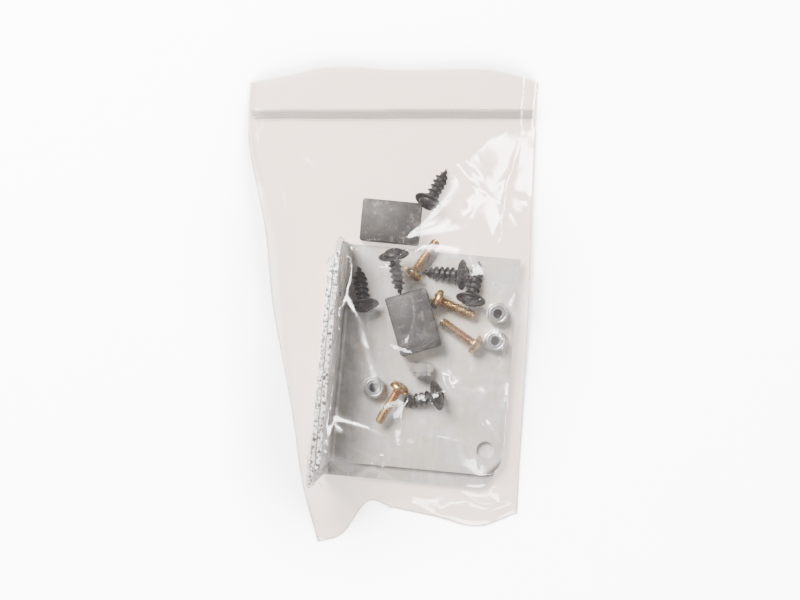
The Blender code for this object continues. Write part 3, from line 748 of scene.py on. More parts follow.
def machine_screw_mesh(shank_tree, material):
    """A pan-head machine screw with its fine thread, its head at +Z."""
    r, h = MACHINE_HEAD_RADIUS, MACHINE_HEAD_HEIGHT
    crown = [(0, h), (r * 0.30, h * 0.995), (r * 0.55, h * 0.96), (r * 0.74, h * 0.88)]
    crown += [(r * 0.88, h * 0.74), (r * 0.965, h * 0.54), (r, h * 0.30), (r, h * 0.08)]
    crown += [(r * 0.985, 0), (MACHINE_RADIUS * 1.04, 0), (MACHINE_RADIUS * 0.8, -0.0005), (0, -0.0005)]
    head = finish_mesh(turned(crown, 56), "machine_screw_head")
    head = cut(head, recess_tool(r * 0.55, h - DRIVE_DEPTH, h))
    shank = mesh_from_tree(
        shank_tree,
        None,
        Length=MACHINE_LENGTH,
        Root_Radius=MACHINE_RADIUS - MACHINE_THREAD_DEPTH,
        Thread_Depth=MACHINE_THREAD_DEPTH,
        Thread_Pitch=MACHINE_THREAD_PITCH,
        Crest_Share=0.5,
        Point_Length=0.0008,
        Point_Share=0.82,
        Sides=36,
        Rings=180,
        Material=material,
    )
    return joined(head, shank, "machine_screw")


def lock_nut_mesh():
    """A chamfered hex nut with a crimped collar and an open threaded bore."""
    outer = NUT_ACROSS_FLATS / math.sqrt(3)
    half = NUT_ACROSS_FLATS / 2
    top = NUT_HEX_HEIGHT + NUT_COLLAR_HEIGHT
    bevel = (outer - half) * 0.58
    recess = INSERT_RADIUS + 0.00008
    floor = top - INSERT_HEIGHT - 0.0006
    profile = [(NUT_BORE + 0.0003, 0), (half * 0.97, 0), (outer + 0.0003, bevel * 1.1)]
    profile += [(outer + 0.0003, NUT_HEX_HEIGHT - bevel), (half * 0.985, NUT_HEX_HEIGHT)]
    profile += [(NUT_COLLAR_RADIUS + 0.0002, NUT_HEX_HEIGHT + 0.00015)]
    profile += arc((NUT_COLLAR_RADIUS - 0.0007, top - 0.0007), 0.0007, 0, 80, 6)
    profile += [(recess + 0.0002, top - 0.00005), (recess, top - 0.0002), (recess, floor)]
    steps = 24
    for k in range(1, steps):
        depth = floor - (floor - 0.0003) * k / steps
        profile.append((NUT_BORE - 0.00022 * (0.5 + 0.5 * math.cos(k * math.pi)), depth))
    bm = turned(profile, 72)
    mesh = finish_mesh(bm, "lock_nut")
    flats = [(outer * math.cos(math.pi / 3 * k), outer * math.sin(math.pi / 3 * k)) for k in range(6)]
    return cut(mesh, prism(flats, -0.002, top + 0.002), "INTERSECT")


def nut_insert_mesh():
    """The nylon ring, in the lock nut's own position."""
    low = NUT_HEX_HEIGHT + NUT_COLLAR_HEIGHT - INSERT_HEIGHT - 0.0003
    high = low + INSERT_HEIGHT
    bore, soft = MACHINE_RADIUS - 0.0002, 0.0002
    profile = [(bore + soft, low), (INSERT_RADIUS - soft, low), (INSERT_RADIUS, low + soft)]
    profile += [(INSERT_RADIUS, high - soft), (INSERT_RADIUS - soft, high), (bore + soft, high)]
    profile += [(bore, high - soft), (bore, low + soft)]
    return finish_mesh(turned(profile, 56), "nut_insert")


def softened(name, width, segments, material, edge_material=None):
    """A CAD node's shape with its edges rounded off. Its highest narrow faces that face up can take a second
    material, for the plates a painted highlight.
    """
    mesh = frame["nodes"][name].data.copy()
    bm = bmesh.new()
    bm.from_mesh(mesh)
    bmesh.ops.remove_doubles(bm, verts=bm.verts, dist=1e-6)
    bmesh.ops.dissolve_limit(bm, angle_limit=math.radians(0.5), verts=bm.verts, edges=bm.edges)
    sharp = [e for e in bm.edges if len(e.link_faces) == 2 and e.calc_face_angle() > math.radians(28)]
    bmesh.ops.bevel(bm, geom=sharp, offset=width, segments=segments, affect="EDGES", clamp_overlap=True)
    materials = [material] if edge_material is None else [material, edge_material]
    piece = new_object(f"{name}_look", finish_mesh(bm, name, 30), *materials)
    top = max(vertex.co.z for vertex in piece.data.vertices)
    # the narrow top faces that face up take the second material, a painted highlight for the plates
    for face in piece.data.polygons:
        narrow = edge_material is not None and face.center.z > top / 2
        face.material_index = int(narrow and face.normal.z > 0.8)
    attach(piece, name)
    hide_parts(name)


def add_contents():
    """Everything that lies loose in the bag."""
    plate_zinc = zinc_material("zinc_plate", (0.88, 0.89, 0.89), 160.0, (0.03, 0.56, 0.80, 0.85))
    # the nuts' painted shade: their sides and bore are darkened almost to black
    nut_corner_shade = (0.004, 0.35, 0.98, 0.95)
    nut_zinc = zinc_material("zinc_nut", (0.66, 0.68, 0.72), 900.0, nut_corner_shade, 0.95, 0.26, 0.06)
    black, yellow = black_steel_material(), yellow_zinc_material()
    rubber, nylon = block_material(), nylon_material()
    for name in PLATES:
        softened(name, 0.00018, 2, plate_zinc, sheared_edge_highlight_material())
    for name in BLOCKS:
        softened(name, 0.00025, 3, rubber)
    shank = threaded_shank_tree()
    screw = wood_screw_mesh(shank, black)
    for name in WOOD_SCREWS:
        place = place_along_axis(name, WOOD_RIM + WOOD_DOME_HEIGHT)
        show(name, screw, place, black)
    screw = machine_screw_mesh(shank, yellow)
    for name in MACHINE_SCREWS:
        show(name, screw, place_along_axis(name, MACHINE_HEAD_HEIGHT), yellow)
    nut, ring = lock_nut_mesh(), nut_insert_mesh()
    for name in LOCK_NUTS:
        place = place_nut(name)
        show(name, nut, place, nut_zinc)
        show(name.replace("nut", "nut_insert"), ring, place, nylon)


# ---- the bag's plan ----


def smooth_edge(edge, count=200):
    """Evenly spaced points on a smooth line through an edge's points, in metres."""
    p = np.array(edge) * (BAG_WIDTH / 2, BAG_LENGTH / 2)
    q = np.vstack([2 * p[0] - p[1], p, 2 * p[-1] - p[-2]])
    dense = []
    for k in range(len(p) - 1):
        a, b, c, d = q[k : k + 4]
        for t in np.linspace(0, 1, 24, endpoint=False):
            bend = 2 * b + (c - a) * t + (2 * a - 5 * b + 4 * c - d) * t**2
            dense.append((bend + (3 * b - a - 3 * c + d) * t**3) / 2)
    dense = np.array(dense + [p[-1]])
    return along(dense, np.linspace(0, 1, count))


def along(edge, share):
    """Points at shares of an edge's length."""
    run = np.concatenate([[0], np.cumsum(np.linalg.norm(np.diff(edge, axis=0), axis=1))])
    at = np.asarray(share) * run[-1]
    return np.column_stack([np.interp(at, run, edge[:, 0]), np.interp(at, run, edge[:, 1])])


def bag_plan(columns, rows):
    """A grid between the bag's four edges, rows by columns by (x, y)."""
    left, right = smooth_edge(LEFT_EDGE), smooth_edge(RIGHT_EDGE)
    bottom, top = smooth_edge(BOTTOM_EDGE), smooth_edge(TOP_EDGE)
    u, v = np.linspace(0, 1, columns), np.linspace(0, 1, rows)
    s, t = u[None, :, None], v[:, None, None]
    flat = (1 - s) * along(left, v)[:, None] + s * along(right, v)[:, None]
    flat = flat + (1 - t) * along(bottom, u)[None] + t * along(top, u)[None]
    ends = (1 - s) * (1 - t) * left[0] + s * (1 - t) * right[0]
    return flat - ends - (1 - s) * t * left[-1] - s * t * right[-1]


# How far some pieces can slide, as (x, y) in metres. The film stays clear of them there too.
SLIDES = {
    "lock_nut_1": (0.0060, 0.0060),
    "lock_nut_2": (-0.0019, -0.0072),
    "wood_screw_1": (0.0075, 0),
    "wood_screw_2": (0.0053, 0.0053),
    "wood_screw_3": (0.0046, 0.0046),
    "wood_screw_4": (0.0072, 0.0042),
    "wood_screw_5": (0.0060, 0.0060),
}


def contents_tree():
    """One tree of all the contents' faces, at rest and along their slides, for rays."""
    points, faces = [], []
    for name in CONTENTS:
        mesh = frame["nodes"][name].data
        slide = Vector((*SLIDES.get(name, (0, 0)), 0))
        for share in (0, 0.5, 1) if name in SLIDES else (0,):
            start = len(points)
            points += [v.co + share * slide for v in mesh.vertices]
            faces += [tuple(start + v for v in p.vertices) for p in mesh.polygons]
    return BVHTree.FromPolygons(points, faces), points, faces


def widen(field, steps):
    """Each value becomes the highest within so many cells."""
    for _ in range(steps):
        grown = field.copy()
        grown[1:] = np.maximum(grown[1:], field[:-1])
        grown[:-1] = np.maximum(grown[:-1], field[1:])
        grown[:, 1:] = np.maximum(grown[:, 1:], field[:, :-1])
        grown[:, :-1] = np.maximum(grown[:, :-1], field[:, 1:])
        field = grown
    return field


def relaxed(height, least, rounds):
    """Pulls a sheet of heights tight over what it must clear. Its rim stays."""
    for _ in range(rounds):
        height[1:-1, 1:-1] = (
            height[:-2, 1:-1] + height[2:, 1:-1] + height[1:-1, :-2] + height[1:-1, 2:]
        ) / 4
        height[1:-1, 1:-1] = np.maximum(height[1:-1, 1:-1], least[1:-1, 1:-1])
    return height


def resized(field, rows, columns):
    """A field of heights on a grid of another size."""
    v = np.linspace(0, 1, field.shape[0])
    u = np.linspace(0, 1, field.shape[1])
    by_row = np.array([np.interp(np.linspace(0, 1, columns), u, line) for line in field])
    return np.array([np.interp(np.linspace(0, 1, rows), v, line) for line in by_row.T]).T


def taut_sheet(least, rim):
    """The height of a tight sheet over least, held at rim, worked out coarse to fine."""
    rows, columns = least.shape
    height = None
    for step in (8, 4, 2, 1):
        size = (max(4, rows // step), max(4, columns // step))
        floor = resized(widen(least, step - 1), *size) if step > 1 else least
        edge = resized(rim, *size) if step > 1 else rim
        height = np.maximum(edge, floor) if height is None else resized(height, *size)
        height[0], height[-1] = edge[0], edge[-1]
        height[:, 0], height[:, -1] = edge[:, 0], edge[:, -1]
        height = relaxed(np.maximum(height, floor), floor, TIGHTENING)
    return height


def sheet_mesh(plan, height, name, upward):
    """A grid mesh with its faces up or down."""
    rows, columns = height.shape
    points = np.dstack([plan, height]).reshape(-1, 3)
    index = np.arange(rows * columns).reshape(rows, columns)
    quads = np.stack([index[:-1, :-1], index[:-1, 1:], index[1:, 1:], index[1:, :-1]], axis=-1).reshape(-1, 4)
    if not upward:
        quads = quads[:, ::-1]
    mesh = bpy.data.meshes.new(name)
    mesh.from_pydata(points.tolist(), [], quads.tolist())
    mesh.shade_smooth()
    return mesh


def cubic(values, at):
    """Values on a smooth curve through rows of values, at fractional rows."""
    last = len(values) - 1
    k = np.clip(np.floor(at).astype(int), 0, last - 1)
    t = (at - k).reshape(-1, *[1] * (values.ndim - 1))
    a, b = values[np.maximum(k - 1, 0)], values[k]
    c, d = values[k + 1], values[np.minimum(k + 2, last)]
    return b + 0.5 * t * (c - a + t * (2 * a - 5 * b + 4 * c - d + t * (3 * (b - c) + d - a)))


def finer(grid, at_rows, at_columns):
    """A grid read at fractional rows and columns."""
    wide = cubic(np.swapaxes(cubic(grid, at_rows), 0, 1), at_columns)
    return np.swapaxes(wide, 0, 1)


# ---- the front film ----


def tops(plan):
    """The highest content over each point of a grid, or zero."""
    tree = contents_tree()[0]
    rows, columns = plan.shape[:2]
    height = np.zeros((rows, columns))
    for i in range(rows):
        for j in range(columns):
            hit = tree.ray_cast(Vector((plan[i, j, 0], plan[i, j, 1], 0.2)), Vector((0, 0, -1)))
            if hit[0] is not None:
                height[i, j] = hit[0].z
    return height


def rim_lift(plan):
    """How high the bag's edge stands off the floor along its left and right sides."""
    y = plan[:, 0, 1] / (BAG_LENGTH / 2)
    left = 0.0075 * np.exp(-(((y - 0.22) / 0.42) ** 2))
    right = 0.0022 * np.exp(-(((y - 0.05) / 0.5) ** 2))
    return left, right


def back_height(plan):
    """The height of the back film: flat on the floor, curling up towards the lifted edges."""
    left, right = rim_lift(plan)
    from_left = np.abs(plan[..., 0] - plan[:, :1, 0])
    from_right = np.abs(plan[..., 0] - plan[:, -1:, 0])
    curl = left[:, None] * np.clip(1 - from_left / 0.018, 0, 1) ** 2
    curl += right[:, None] * np.clip(1 - from_right / 0.006, 0, 1) ** 2
    return 0.0001 + curl


def least_height(plan):
    """The lowest the front film may lie at each grid point."""
    fine_rows = np.linspace(0, len(plan) - 1, 2 * len(plan) - 1)
    fine_columns = np.linspace(0, plan.shape[1] - 1, 2 * plan.shape[1] - 1)
    top = widen(tops(finer(plan, fine_rows, fine_columns)), 2)[::2, ::2]
    return np.where(top > 0, top + FILM_GAP, back_height(plan) + 0.0002)


def eased(share):
    """A share that starts and ends gently."""
    return share * share * (3 - 2 * share)


def lip_height(plan, rim):
    """The height of the front film over the zip and above it."""
    share = np.linspace(0, 1, plan.shape[1])[None, :]
    return rim + (LIP_HEIGHT - rim) * eased(np.minimum(1, np.minimum(share, 1 - share) * 16))


def settled(plan, height, held):
    """The front film after it has sunk, with some slack, over the contents."""
    solids = contents_tree()
    bottom = 0.0003
    corners = [(-0.09, -0.13, bottom), (0.09, -0.13, bottom), (0.09, 0.13, bottom), (-0.09, 0.13, bottom)]
    points = [Vector(p) * SIM_SCALE for p in solids[1]] + [Vector(p) * SIM_SCALE for p in corners]
    base = len(solids[1])
    shape = bpy.data.meshes.new("under_film")
    shape.from_pydata(points, [], solids[2] + [(base, base + 1, base + 2, base + 3)])
    under = new_object("under_film", shape)
    under.modifiers.new("stop", "COLLISION")
    under.collision.thickness_outer = 0.004
    under.collision.cloth_friction = 4.0
    film = new_object("film_cloth", sheet_mesh(plan * SIM_SCALE, height * SIM_SCALE, "film_cloth", True))
    group_held = film.vertex_groups.new(name="held")
    group_held.add(np.flatnonzero(held.ravel()).tolist(), 1.0, "REPLACE")
    cloth = film.modifiers.new("settle", "CLOTH")
    settings = cloth.settings
    settings.vertex_group_mass = "held"
    settings.quality = 6
    settings.mass = 0.3
    settings.air_damping = 1.5
    settings.tension_stiffness = settings.compression_stiffness = 60.0
    settings.shear_stiffness = 30.0
    settings.bending_stiffness = 20.0
    settings.shrink_min = -SIM_SLACK
    cloth.collision_settings.distance_min = 0.004
    cloth.collision_settings.collision_quality = 3
    scene = bpy.context.scene
    for number in range(1, SIM_FRAMES + 1):
        scene.frame_set(number)
    done = film.evaluated_get(bpy.context.evaluated_depsgraph_get())
    result = np.zeros(height.size * 3, np.float32)
    done.data.vertices.foreach_get("co", result)
    for thing in (film, under):
        bpy.data.objects.remove(thing, do_unlink=True)
    scene.frame_set(1)
    return result.reshape(*height.shape, 3).astype(float) / SIM_SCALE


def smoothed(height, least, free):
    """Heights with their small ripples evened out, where they are free to move."""
    for _ in range(SMOOTHING):
        around = np.roll(height, 1, 0) + np.roll(height, -1, 0)
        around = (around + np.roll(height, 1, 1) + np.roll(height, -1, 1)) / 4
        height = np.where(free, np.maximum((height + around) / 2, least), height)
    return height


def ridge(plan, path, width, height):
    """A soft fold along a path, highest in its middle: a height over each grid point."""
    best = np.full(plan.shape[:2], np.inf)
    fade = np.zeros(plan.shape[:2])
    runs = [math.dist(a, b) for a, b in zip(path, path[1:])]
    done = 0.0
    for (a, b), run in zip(zip(path, path[1:]), runs):
        a, b = np.array(a), np.array(b)
        share = np.clip(((plan - a) @ (b - a)) / run**2, 0, 1)
        away = np.linalg.norm(plan - a - share[..., None] * (b - a), axis=2)
        at = (done + share * run) / sum(runs)
        closer = away < best
        best = np.where(closer, away, best)
        fade = np.where(closer, np.sin(np.pi * np.clip(at, 0.04, 0.96)) ** 0.6, fade)
        done += run
    return height * fade * np.exp(-np.abs(best / width) ** 1.4)


# Folds in the front film: (x, y) points in metres, the half width and the height.
FOLDS = (
    (((0.003, -0.0626), (-0.010, -0.072), (-0.0223, -0.080)), 0.0014, 0.00065),
    (((0.003, -0.0626), (0.014, -0.073), (0.026, -0.081)), 0.0014, 0.00060),
    (((0.003, -0.0626), (-0.007, -0.077), (-0.0154, -0.090)), 0.0012, 0.00067),
    (((0.003, -0.0626), (0.004, -0.048), (0.010, -0.034)), 0.0014, 0.00067),
    (((0.003, -0.0626), (-0.012, -0.055), (-0.027, -0.050)), 0.0012, 0.00059),
    (((0.003, -0.0626), (0.020, -0.060), (0.036, -0.064)), 0.0012, 0.00059),
    (((0.0324, -0.0419), (0.041, -0.053), (0.0508, -0.0667)), 0.0016, 0.00040),
    (((-0.060, 0.078), (-0.050, 0.050), (-0.047, 0.020)), 0.0015, 0.00059),
    (((-0.045, 0.070), (-0.030, 0.062), (-0.010, 0.066)), 0.0016, 0.00050),
    (((0.010, 0.074), (0.022, 0.060), (0.042, 0.050)), 0.0015, 0.00067),
    (((0.043, 0.049), (0.052, 0.058), (0.060, 0.064)), 0.0016, 0.0003),
    (((0.043, 0.049), (0.034, 0.060), (0.029, 0.070)), 0.0016, 0.0003),
    (((0.043, 0.049), (0.035, 0.040), (0.027, 0.034)), 0.0018, 0.0003),
    (((0.043, 0.049), (0.053, 0.042), (0.060, 0.032)), 0.0016, 0.0003),
    (((0.0070, 0.005), (0.0085, -0.005), (0.0065, -0.016)), 0.0009, 0.00038),
    (((-0.001, -0.0175), (0.008, -0.0205), (0.017, -0.0145)), 0.0008, 0.00029),
    (((0.058, 0.074), (0.052, 0.055), (0.048, 0.030)), 0.0014, 0.00067),
    (((-0.046, -0.020), (-0.040, -0.050), (-0.036, -0.085)), 0.0015, 0.00076),
    (((-0.038, -0.070), (-0.028, -0.084), (-0.020, -0.096)), 0.0012, 0.00076),
    (((0.030, -0.086), (0.042, -0.092), (0.054, -0.090)), 0.0014, 0.00050),
)


# Taut patches of the front film: centre, reach, number of points, and the slope it falls by in x and y.
TAUT_PATCHES = (
    ((0.0430, 0.0480), 0.0150, 5, (0.315, 0.105)),
    ((0.0260, -0.0890), 0.0065, 3, (0.04, -0.30)),
    ((0.0470, -0.0915), 0.0060, 4, (0.04, -0.30)),
    ((0.0020, -0.0885), 0.0050, 3, (0.04, -0.30)),
)

# The taut ribbon between two folds: its path, its half width and the slope it falls by across.
RIBBON_PATH = (
    (-0.0196, 0.0065),
    (-0.0144, -0.0069),
    (-0.0119, -0.0179),
    (-0.0093, -0.0289),
    (-0.0067, -0.0378),
)
RIBBON_HALF_WIDTH = 0.0034
RIBBON_FALL = 0.43


def taut_patch(film, centre, reach, points, slope):
    """Pulls a star-shaped patch of the film flat."""
    offset = film[..., :2] - centre
    away = np.linalg.norm(offset, axis=2)
    around = np.arctan2(offset[..., 1], offset[..., 0])
    edge = reach * (1 + 0.34 * np.cos(points * around + 0.8) + 0.14 * np.cos((points + 3) * around))
    share = eased(np.clip((edge - away) / (0.22 * reach), 0, 1))
    middle = film[..., 2].ravel()[away.argmin()]
    film[..., 2] += share * (middle - offset @ np.array(slope) - film[..., 2])


def taut_ribbon(film, path, width, fall):
    """Pulls a narrow strip of the film flat across, between its path's own heights."""
    path = np.array(path)
    flat = film[..., :2]
    heights = [film[..., 2].ravel()[np.linalg.norm(flat - point, axis=2).argmin()] for point in path]
    best = np.full(flat.shape[:2], np.inf)
    level = np.zeros(flat.shape[:2])
    side = np.zeros(flat.shape[:2])
    at = np.zeros(flat.shape[:2])
    for k, (a, b) in enumerate(zip(path, path[1:])):
        run = np.linalg.norm(b - a)
        share = np.clip(((flat - a) @ (b - a)) / run**2, 0, 1)
        offset = flat - a - share[..., None] * (b - a)
        away = np.linalg.norm(offset, axis=2)
        closer = away < best
        best = np.where(closer, away, best)
        level = np.where(closer, heights[k] + share * (heights[k + 1] - heights[k]), level)
        side = np.where(closer, offset @ np.array((-(b - a)[1], (b - a)[0])) / run, side)
        at = np.where(closer, k + share, at)
    half = width * np.interp(at / (len(path) - 1), (0, 0.45, 1), (0.25, 1, 0.85))
    share = eased(np.clip((half * 1.3 - best) / (half * 0.5), 0, 1))
    film[..., 2] += share * (level - fall * side - film[..., 2])


def crinkle(plan, seed, scale, stretch):
    """Fine, sharp-crested wrinkles, as shares of their height, over each grid point."""
    values = np.zeros(plan.shape[:2])
    for i, row in enumerate(plan):
        for j, (x, y) in enumerate(row):
            place = Vector((x * scale, y * scale * stretch, seed))
            bend = noise.noise(place * 0.37) * 1.3
            values[i, j] = 1 - abs(noise.noise(place + Vector((bend, -bend, 0)))) * 2.4
    return np.clip(values, 0, 1) ** 3


def film_rows():
    """Shares up the bag for the rows of the finished film, close together over the zip."""
    below = np.linspace(0, DENSE_FROM, ROWS_BELOW_ZIP, endpoint=False)
    return np.concatenate([below, np.linspace(DENSE_FROM, 1, ROWS_OVER_ZIP)])


def flat_share(rows, columns):
    """Which points of the finished film may move: those below the zip and off the seams."""
    inside = (columns > 2) & (columns < COLUMNS - 3)
    return (rows < 0.84)[:, None] & (rows > 0.01)[:, None] & inside[None, :]


def zip_relief(plan):
    """The ridges pressed into the film by the zip and the grip lines."""
    y = plan[..., 1]
    ribs = (
        (ZIP_Y - 0.0017, 0.0005, 0.00022),
        (ZIP_Y + 0.0017, 0.0005, 0.00022),
        (ZIP_Y, 0.0005, 0.00010),
        (GRIP_LINE_Y - 0.0014, 0.0004, 0.00028),
        (GRIP_LINE_Y + 0.0014, 0.0004, 0.00028),
    )
    wave = 0.0002 * np.sin(plan[..., 0] * 90) + 0.00012 * np.sin(plan[..., 0] * 260 + 1)
    return sum(h * np.exp(-(((y - at - wave) / w) ** 2)) for at, w, h in ribs)


def front_film():
    """The whole front of the bag as one sheet of points, rows by columns by (x, y, z)."""
    plan = bag_plan(COLUMNS, ROWS)
    rim = back_height(plan) + 0.0002
    lip = plan[..., 1] > HINGE_Y
    least = np.maximum(least_height(plan), np.where(lip, lip_height(plan, rim), 0))
    height = taut_sheet(least, rim)
    height = np.where(lip, least, height)
    held = lip.copy()
    held[0], held[:, 0], held[:, -1] = True, True, True
    film = np.dstack([plan, height])
    film = settled(plan, height, held)
    film[..., 2] = smoothed(film[..., 2], np.minimum(height, least), ~held)
    rows = film_rows() * (ROWS - 1)
    columns = np.linspace(0, COLUMNS - 1, FINE_COLUMNS)
    film = finer(film, rows, columns)
    for patch in TAUT_PATCHES:
        taut_patch(film, *patch)
    taut_ribbon(film, RIBBON_PATH, RIBBON_HALF_WIDTH, RIBBON_FALL)
    free = flat_share(film_rows(), columns)
    fine_least = finer(np.where(held, 0, least), rows, columns)
    film[..., 2] = smoothed(film[..., 2], np.minimum(fine_least, film[..., 2] + 0.002), free)
    film[..., 2] = np.maximum(film[..., 2], finer(rim, rows, columns))
    flat = film[..., :2]
    inside = np.minimum(columns, COLUMNS - 1 - columns) / (COLUMNS - 1)
    fade = np.clip(inside / 0.05, 0, 1)[None, :] * np.clip(film_rows() / 0.04, 0, 1)[:, None]
    body = np.clip((HINGE_Y + 0.002 - flat[..., 1]) / 0.006, 0, 1)
    detail = sum(ridge(flat, *fold) for fold in FOLDS)
    detail += 0.00010 * crinkle(flat, 3.1, 70, 0.7)
    film[..., 2] += detail * fade * body + zip_relief(flat) * np.clip(inside / 0.02, 0, 1)[None, :]
    film[..., 2] += 0.00006 * crinkle(flat, 5.3, 60, 0.4) * (1 - body)
    return film


def give_seal(mesh, rows, columns, side, end):
    """A point attribute that is 1 along the welded sides and the folded end."""
    u = np.linspace(0, 1, columns)[None, :]
    v = np.linspace(0, 1, rows)[:, None]
    edge = np.maximum(np.clip(1 - np.minimum(u, 1 - u) / side, 0, 1), np.clip(1 - v / end, 0, 1) * 0.6)
    mesh.attributes.new("seal", "FLOAT", "POINT").data.foreach_set("value", edge.ravel().astype(np.float32))


def grid_mesh(points, name, upward):
    """A film's mesh from its points, with its welded edges marked."""
    rows, columns = points.shape[:2]
    mesh = sheet_mesh(points[..., :2], points[..., 2], name, upward)
    give_seal(mesh, rows, columns, SEAM_WIDTH / BAG_WIDTH, SEAM_WIDTH / BAG_LENGTH)
    return mesh


def bead_tree():
    """A thin bead of melted film along a path."""
    inputs = [("Geometry", "NodeSocketGeometry", None)]
    inputs += [(label, "NodeSocketFloat", None) for label in ("Bead Radius", "Unevenness")]
    inputs += [("Seed", "NodeSocketInt", None), ("Material", "NodeSocketMaterial", None)]
    tree, n, start, out = group(
        "welded_bead",
        inputs,
        [("Geometry", "NodeSocketGeometry")],
        "GeometryNodeTree",
    )
    given = start.outputs
    path = n.feed(n.add("GeometryNodeMeshToCurve"), Mesh=given["Geometry"])
    uneven = n.add("FunctionNodeRandomValue", data_type="FLOAT")
    n.link(n.maths("SUBTRACT", 1.0, given["Unevenness"]), uneven.inputs[2])
    n.link(n.maths("ADD", 1.0, given["Unevenness"]), uneven.inputs[3])
    n.link(given["Seed"], uneven.inputs["Seed"])
    sized = n.add("GeometryNodeSetCurveRadius")
    n.feed(sized, Curve=path.outputs["Curve"], Radius=uneven.outputs[1])
    ring = n.feed(n.add("GeometryNodeCurvePrimitiveCircle"), Resolution=8)
    n.link(given["Bead Radius"], ring.inputs["Radius"])
    swept = n.add("GeometryNodeCurveToMesh")
    n.feed(swept, Curve=sized.outputs["Curve"], Profile_Curve=ring.outputs["Curve"], Fill_Caps=True)
    if "Scale" in swept.inputs:
        n.link(uneven.outputs[1], swept.inputs["Scale"])
    n.link(finished_by(n, swept.outputs["Mesh"], given["Material"]), out.inputs["Geometry"])
    return tree


def bead(tree, points, name, body, seed, material):
    """A melted bead along a film's edge."""
    path = bpy.data.meshes.new(name)
    path.from_pydata(points.tolist(), [(k, k + 1) for k in range(len(points) - 1)], [])
    mesh = mesh_from_tree(tree, path, Bead_Radius=0.00022, Unevenness=0.25, Seed=seed, Material=material)
    piece = new_object(name, mesh, material)
    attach(piece, body)


def track_mesh(profile, base, name):
    """A zip track along X: a round-cornered (y, z) profile, pressed flat at both ends."""
    left = np.interp(ZIP_Y, *smooth_edge(LEFT_EDGE).T[::-1]) + 0.0011
    right = np.interp(ZIP_Y, *smooth_edge(RIGHT_EDGE).T[::-1]) - 0.0011
    stations = np.linspace(left, right, 120)
    bm = bmesh.new()
    rings = []
    for x in stations:
        near_end = np.clip(min(x - left, right - x) / 0.005, 0.3, 1)
        wave = 0.00010 * math.sin(x * 90) + 0.00006 * math.sin(x * 260 + 1)
        rings.append([bm.verts.new((x, ZIP_Y + y + wave, base + (z - base) * near_end)) for y, z in profile])
    for one, two in zip(rings, rings[1:]):
        for k in range(len(profile)):
            bm.faces.new((one[k], one[k - 1], two[k - 1], two[k]))
    bm.faces.new(rings[0])
    bm.faces.new(rings[-1][::-1])
    bmesh.ops.recalc_face_normals(bm, faces=bm.faces)
    return finish_mesh(bm, name, 40)


def add_zip(material):
    """The grooved track on the back film and the ribbed track under the front film."""
    low, wall, half = ZIP_BASE, 0.0005, ZIP_WIDTH / 2
    top = ZIP_TOP
    groove = [(-half, low), (half, low), (half, low + 0.0003), (half - 0.0004, low + 0.0004)]
    groove += [(half - 0.0004, top), (half - 0.0004 - wall, top), (half - 0.00075 - wall, top - 0.0004)]
    groove += [(half - 0.0004 - wall, low + 0.0005), (-half + 0.0004 + wall, low + 0.0005)]
    groove += [(-half + 0.00075 + wall, top - 0.0004), (-half + 0.0004 + wall, top), (-half + 0.0004, top)]
    groove += [(-half + 0.0004, low + 0.0004), (-half, low + 0.0003)]
    back = new_object("zip_groove_look", track_mesh(groove, low, "zip_groove"), material)
    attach(back, "bag")
    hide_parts("zip_track_back")
    base = ZIP_TOP + 0.0003
    tip = ZIP_BASE + 0.0007
    rib = [(-half, base), (-0.0004, base), (-0.0004, tip + 0.0009), (-0.0007, tip + 0.0005), (-0.0003, tip)]
    rib += [(0.0003, tip), (0.0007, tip + 0.0005), (0.0004, tip + 0.0009), (0.0004, base), (half, base)]
    rib += [(half, base + 0.0003), (half - 0.0003, base + 0.0004), (-half + 0.0003, base + 0.0004)]
    rib += [(-half, base + 0.0003)]
    front = new_object("zip_rib_look", track_mesh(rib, base, "zip_rib"), material)
    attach(front, "front_lip")
    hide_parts("zip_track_front")


def add_bag():
    """The two films, the zip and the welds. Gives the front film's object."""
    front_material = film_material("film_front", 0.009, (0.945, 0.905, 0.875), 0.09, 0.04)
    back_material = film_material("film_back", 0.06, (0.89, 0.80, 0.745), 0.14)
    zip_material = film_material("film_zip", 0.012, (0.985, 0.98, 0.977), 0.20, 0.03)
    edge_material = film_material("film_edge", 0.20, (0.80, 0.77, 0.75), 0.12)
    points = front_film()
    front = new_object("bag_front_film", grid_mesh(points, "bag_front_film", True), front_material)
    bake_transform(front)
    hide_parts("bag_front_panel", "bag_front_lip")
    plan = bag_plan(COLUMNS, ROWS)
    flat = np.dstack([plan, back_height(plan)])
    back = new_object("bag_back_film", grid_mesh(flat, "bag_back_film", False), back_material)
    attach(back, "bag")
    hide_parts("bag_back_panel")
    add_zip(zip_material)
    tree = bead_tree()
    below = points[:, 0, 1] < HINGE_Y - 0.003
    for seed, (name, column) in enumerate((("left_weld", 0), ("right_weld", -1))):
        bead(tree, points[below, column], name, "bag", seed, edge_material)
    bead(tree, points[0], "bottom_fold", "bag", 7, edge_material)
    return front


# ---- floor, lights and camera ----


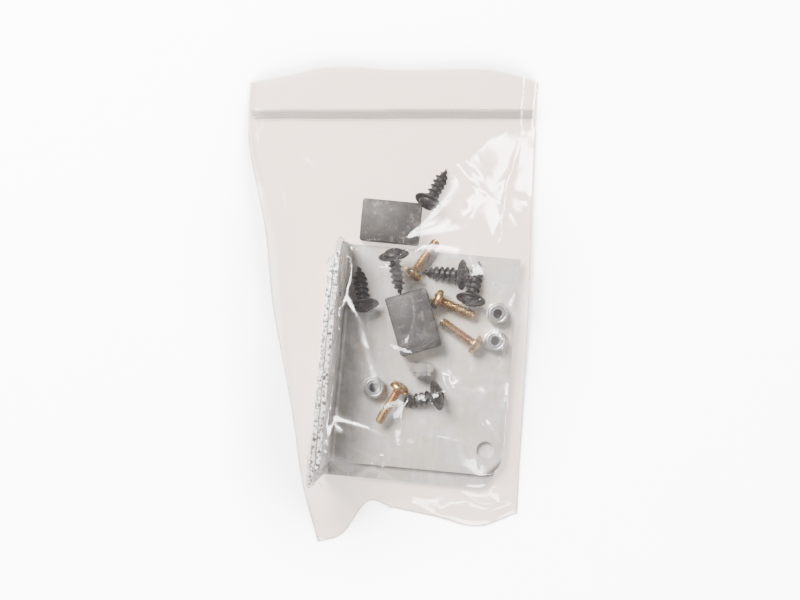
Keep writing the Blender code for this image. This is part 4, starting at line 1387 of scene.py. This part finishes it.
def add_floor():
    """The white table, lit from within so that it stays white, with a painted shadow that dims its glow
    beside and under the bag.
    """
    material, n, shader, place = start_material("floor")
    paper = n.mix(n.ramp(n.noise(place, 30.0), 0.3, 0.7), (0.90, 0.90, 0.90), (0.92, 0.92, 0.92))
    n.feed(shader, Base_Color=paper, Roughness=0.8, Emission_Color=(1, 1, 1, 1))
    paths = n.add("ShaderNodeLightPath").outputs
    # painted shadow: the glow is dimmed where the bag and its contents close round the floor
    painted_shadow_probe = n.feed(n.add("ShaderNodeAmbientOcclusion", samples=6), Distance=0.045)
    shade = n.ramp(painted_shadow_probe.outputs["AO"], 0.82, 0.995, 0.25, 1.0)
    mirrored = n.maths("MULTIPLY", paths["Is Glossy Ray"], 1.8)
    glow = n.maths("ADD", n.ramp(paths["Is Camera Ray"], 0.0, 1.0, 0.3, 7.5), mirrored)
    n.link(n.maths("MULTIPLY", glow, shade), shader.inputs["Emission Strength"])
    mesh = bpy.data.meshes.new("floor")
    half = 1.5
    corners = [(-half, -half, 0), (half, -half, 0), (half, half, 0), (-half, half, 0)]
    mesh.from_pydata(corners, [], [(0, 1, 2, 3)])
    new_object("floor", mesh, material)


def area_light(name, place, size, power, only=None):
    """A rectangular soft light, (width, height) in metres, aimed at the bag."""
    data = bpy.data.lights.new(name, "AREA")
    data.shape = "RECTANGLE"
    data.size, data.size_y = size
    data.energy = power
    lamp = bpy.data.objects.new(name, data)
    lamp.location = place
    lamp.rotation_euler = (-Vector(place)).to_track_quat("-Z", "Y").to_euler()
    bpy.context.scene.collection.objects.link(lamp)
    if only is not None:
        lamp.light_linking.receiver_collection = only


def add_lights(front_film_piece):
    """A soft key from the upper left, weak fills and gloss lights.

    The key leaves out the front film, and the gloss lights reach nothing else.
    """
    still = bpy.data.collections.new("all_but_front_film")
    for thing in bpy.context.scene.objects:
        if thing.type == "MESH" and thing is not front_film_piece:
            still.objects.link(thing)
    gloss = bpy.data.collections.new("gloss_film")
    gloss.objects.link(front_film_piece)
    area_light("soft_key", (-0.42, 0.52, 0.74), (0.45, 0.45), 50, still)
    area_light("left_fill", (-0.9, -0.3, 0.6), (0.9, 0.5), 3)
    area_light("right_fill", (0.8, -0.2, 0.9), (0.9, 0.5), 3)
    area_light("gloss_right", (0.62, 0.26, 0.74), (0.44, 0.22), 36, gloss)
    area_light("gloss_low", (0.74, -0.10, 0.67), (0.20, 0.10), 10, gloss)
    area_light("gloss_front", (0.08, -0.58, 0.80), (0.50, 0.18), 20, gloss)
    area_light("gloss_left", (-0.62, 0.24, 0.74), (0.16, 0.08), 1.5, gloss)
    world = bpy.data.worlds.new("studio")
    world.use_nodes = True
    n = Nodes(world.node_tree)
    sky = world.node_tree.nodes["Background"].inputs
    sky["Color"].default_value = (0.95, 0.96, 1.0, 1)
    seen = n.add("ShaderNodeLightPath").outputs["Is Camera Ray"]
    n.link(n.ramp(seen, 0.0, 1.0, 0.29, 6.0), sky["Strength"])
    bpy.context.scene.world = world


def add_camera():
    """A camera straight above the bag."""
    data = bpy.data.cameras.new("camera")
    data.lens = 50
    data.sensor_width = 36
    camera = bpy.data.objects.new("camera", data)
    camera.location = (0.0030, 0.0018, 0.511)
    bpy.context.scene.collection.objects.link(camera)
    bpy.context.scene.camera = camera


add_camera()
add_floor()
add_contents()
add_lights(add_bag())
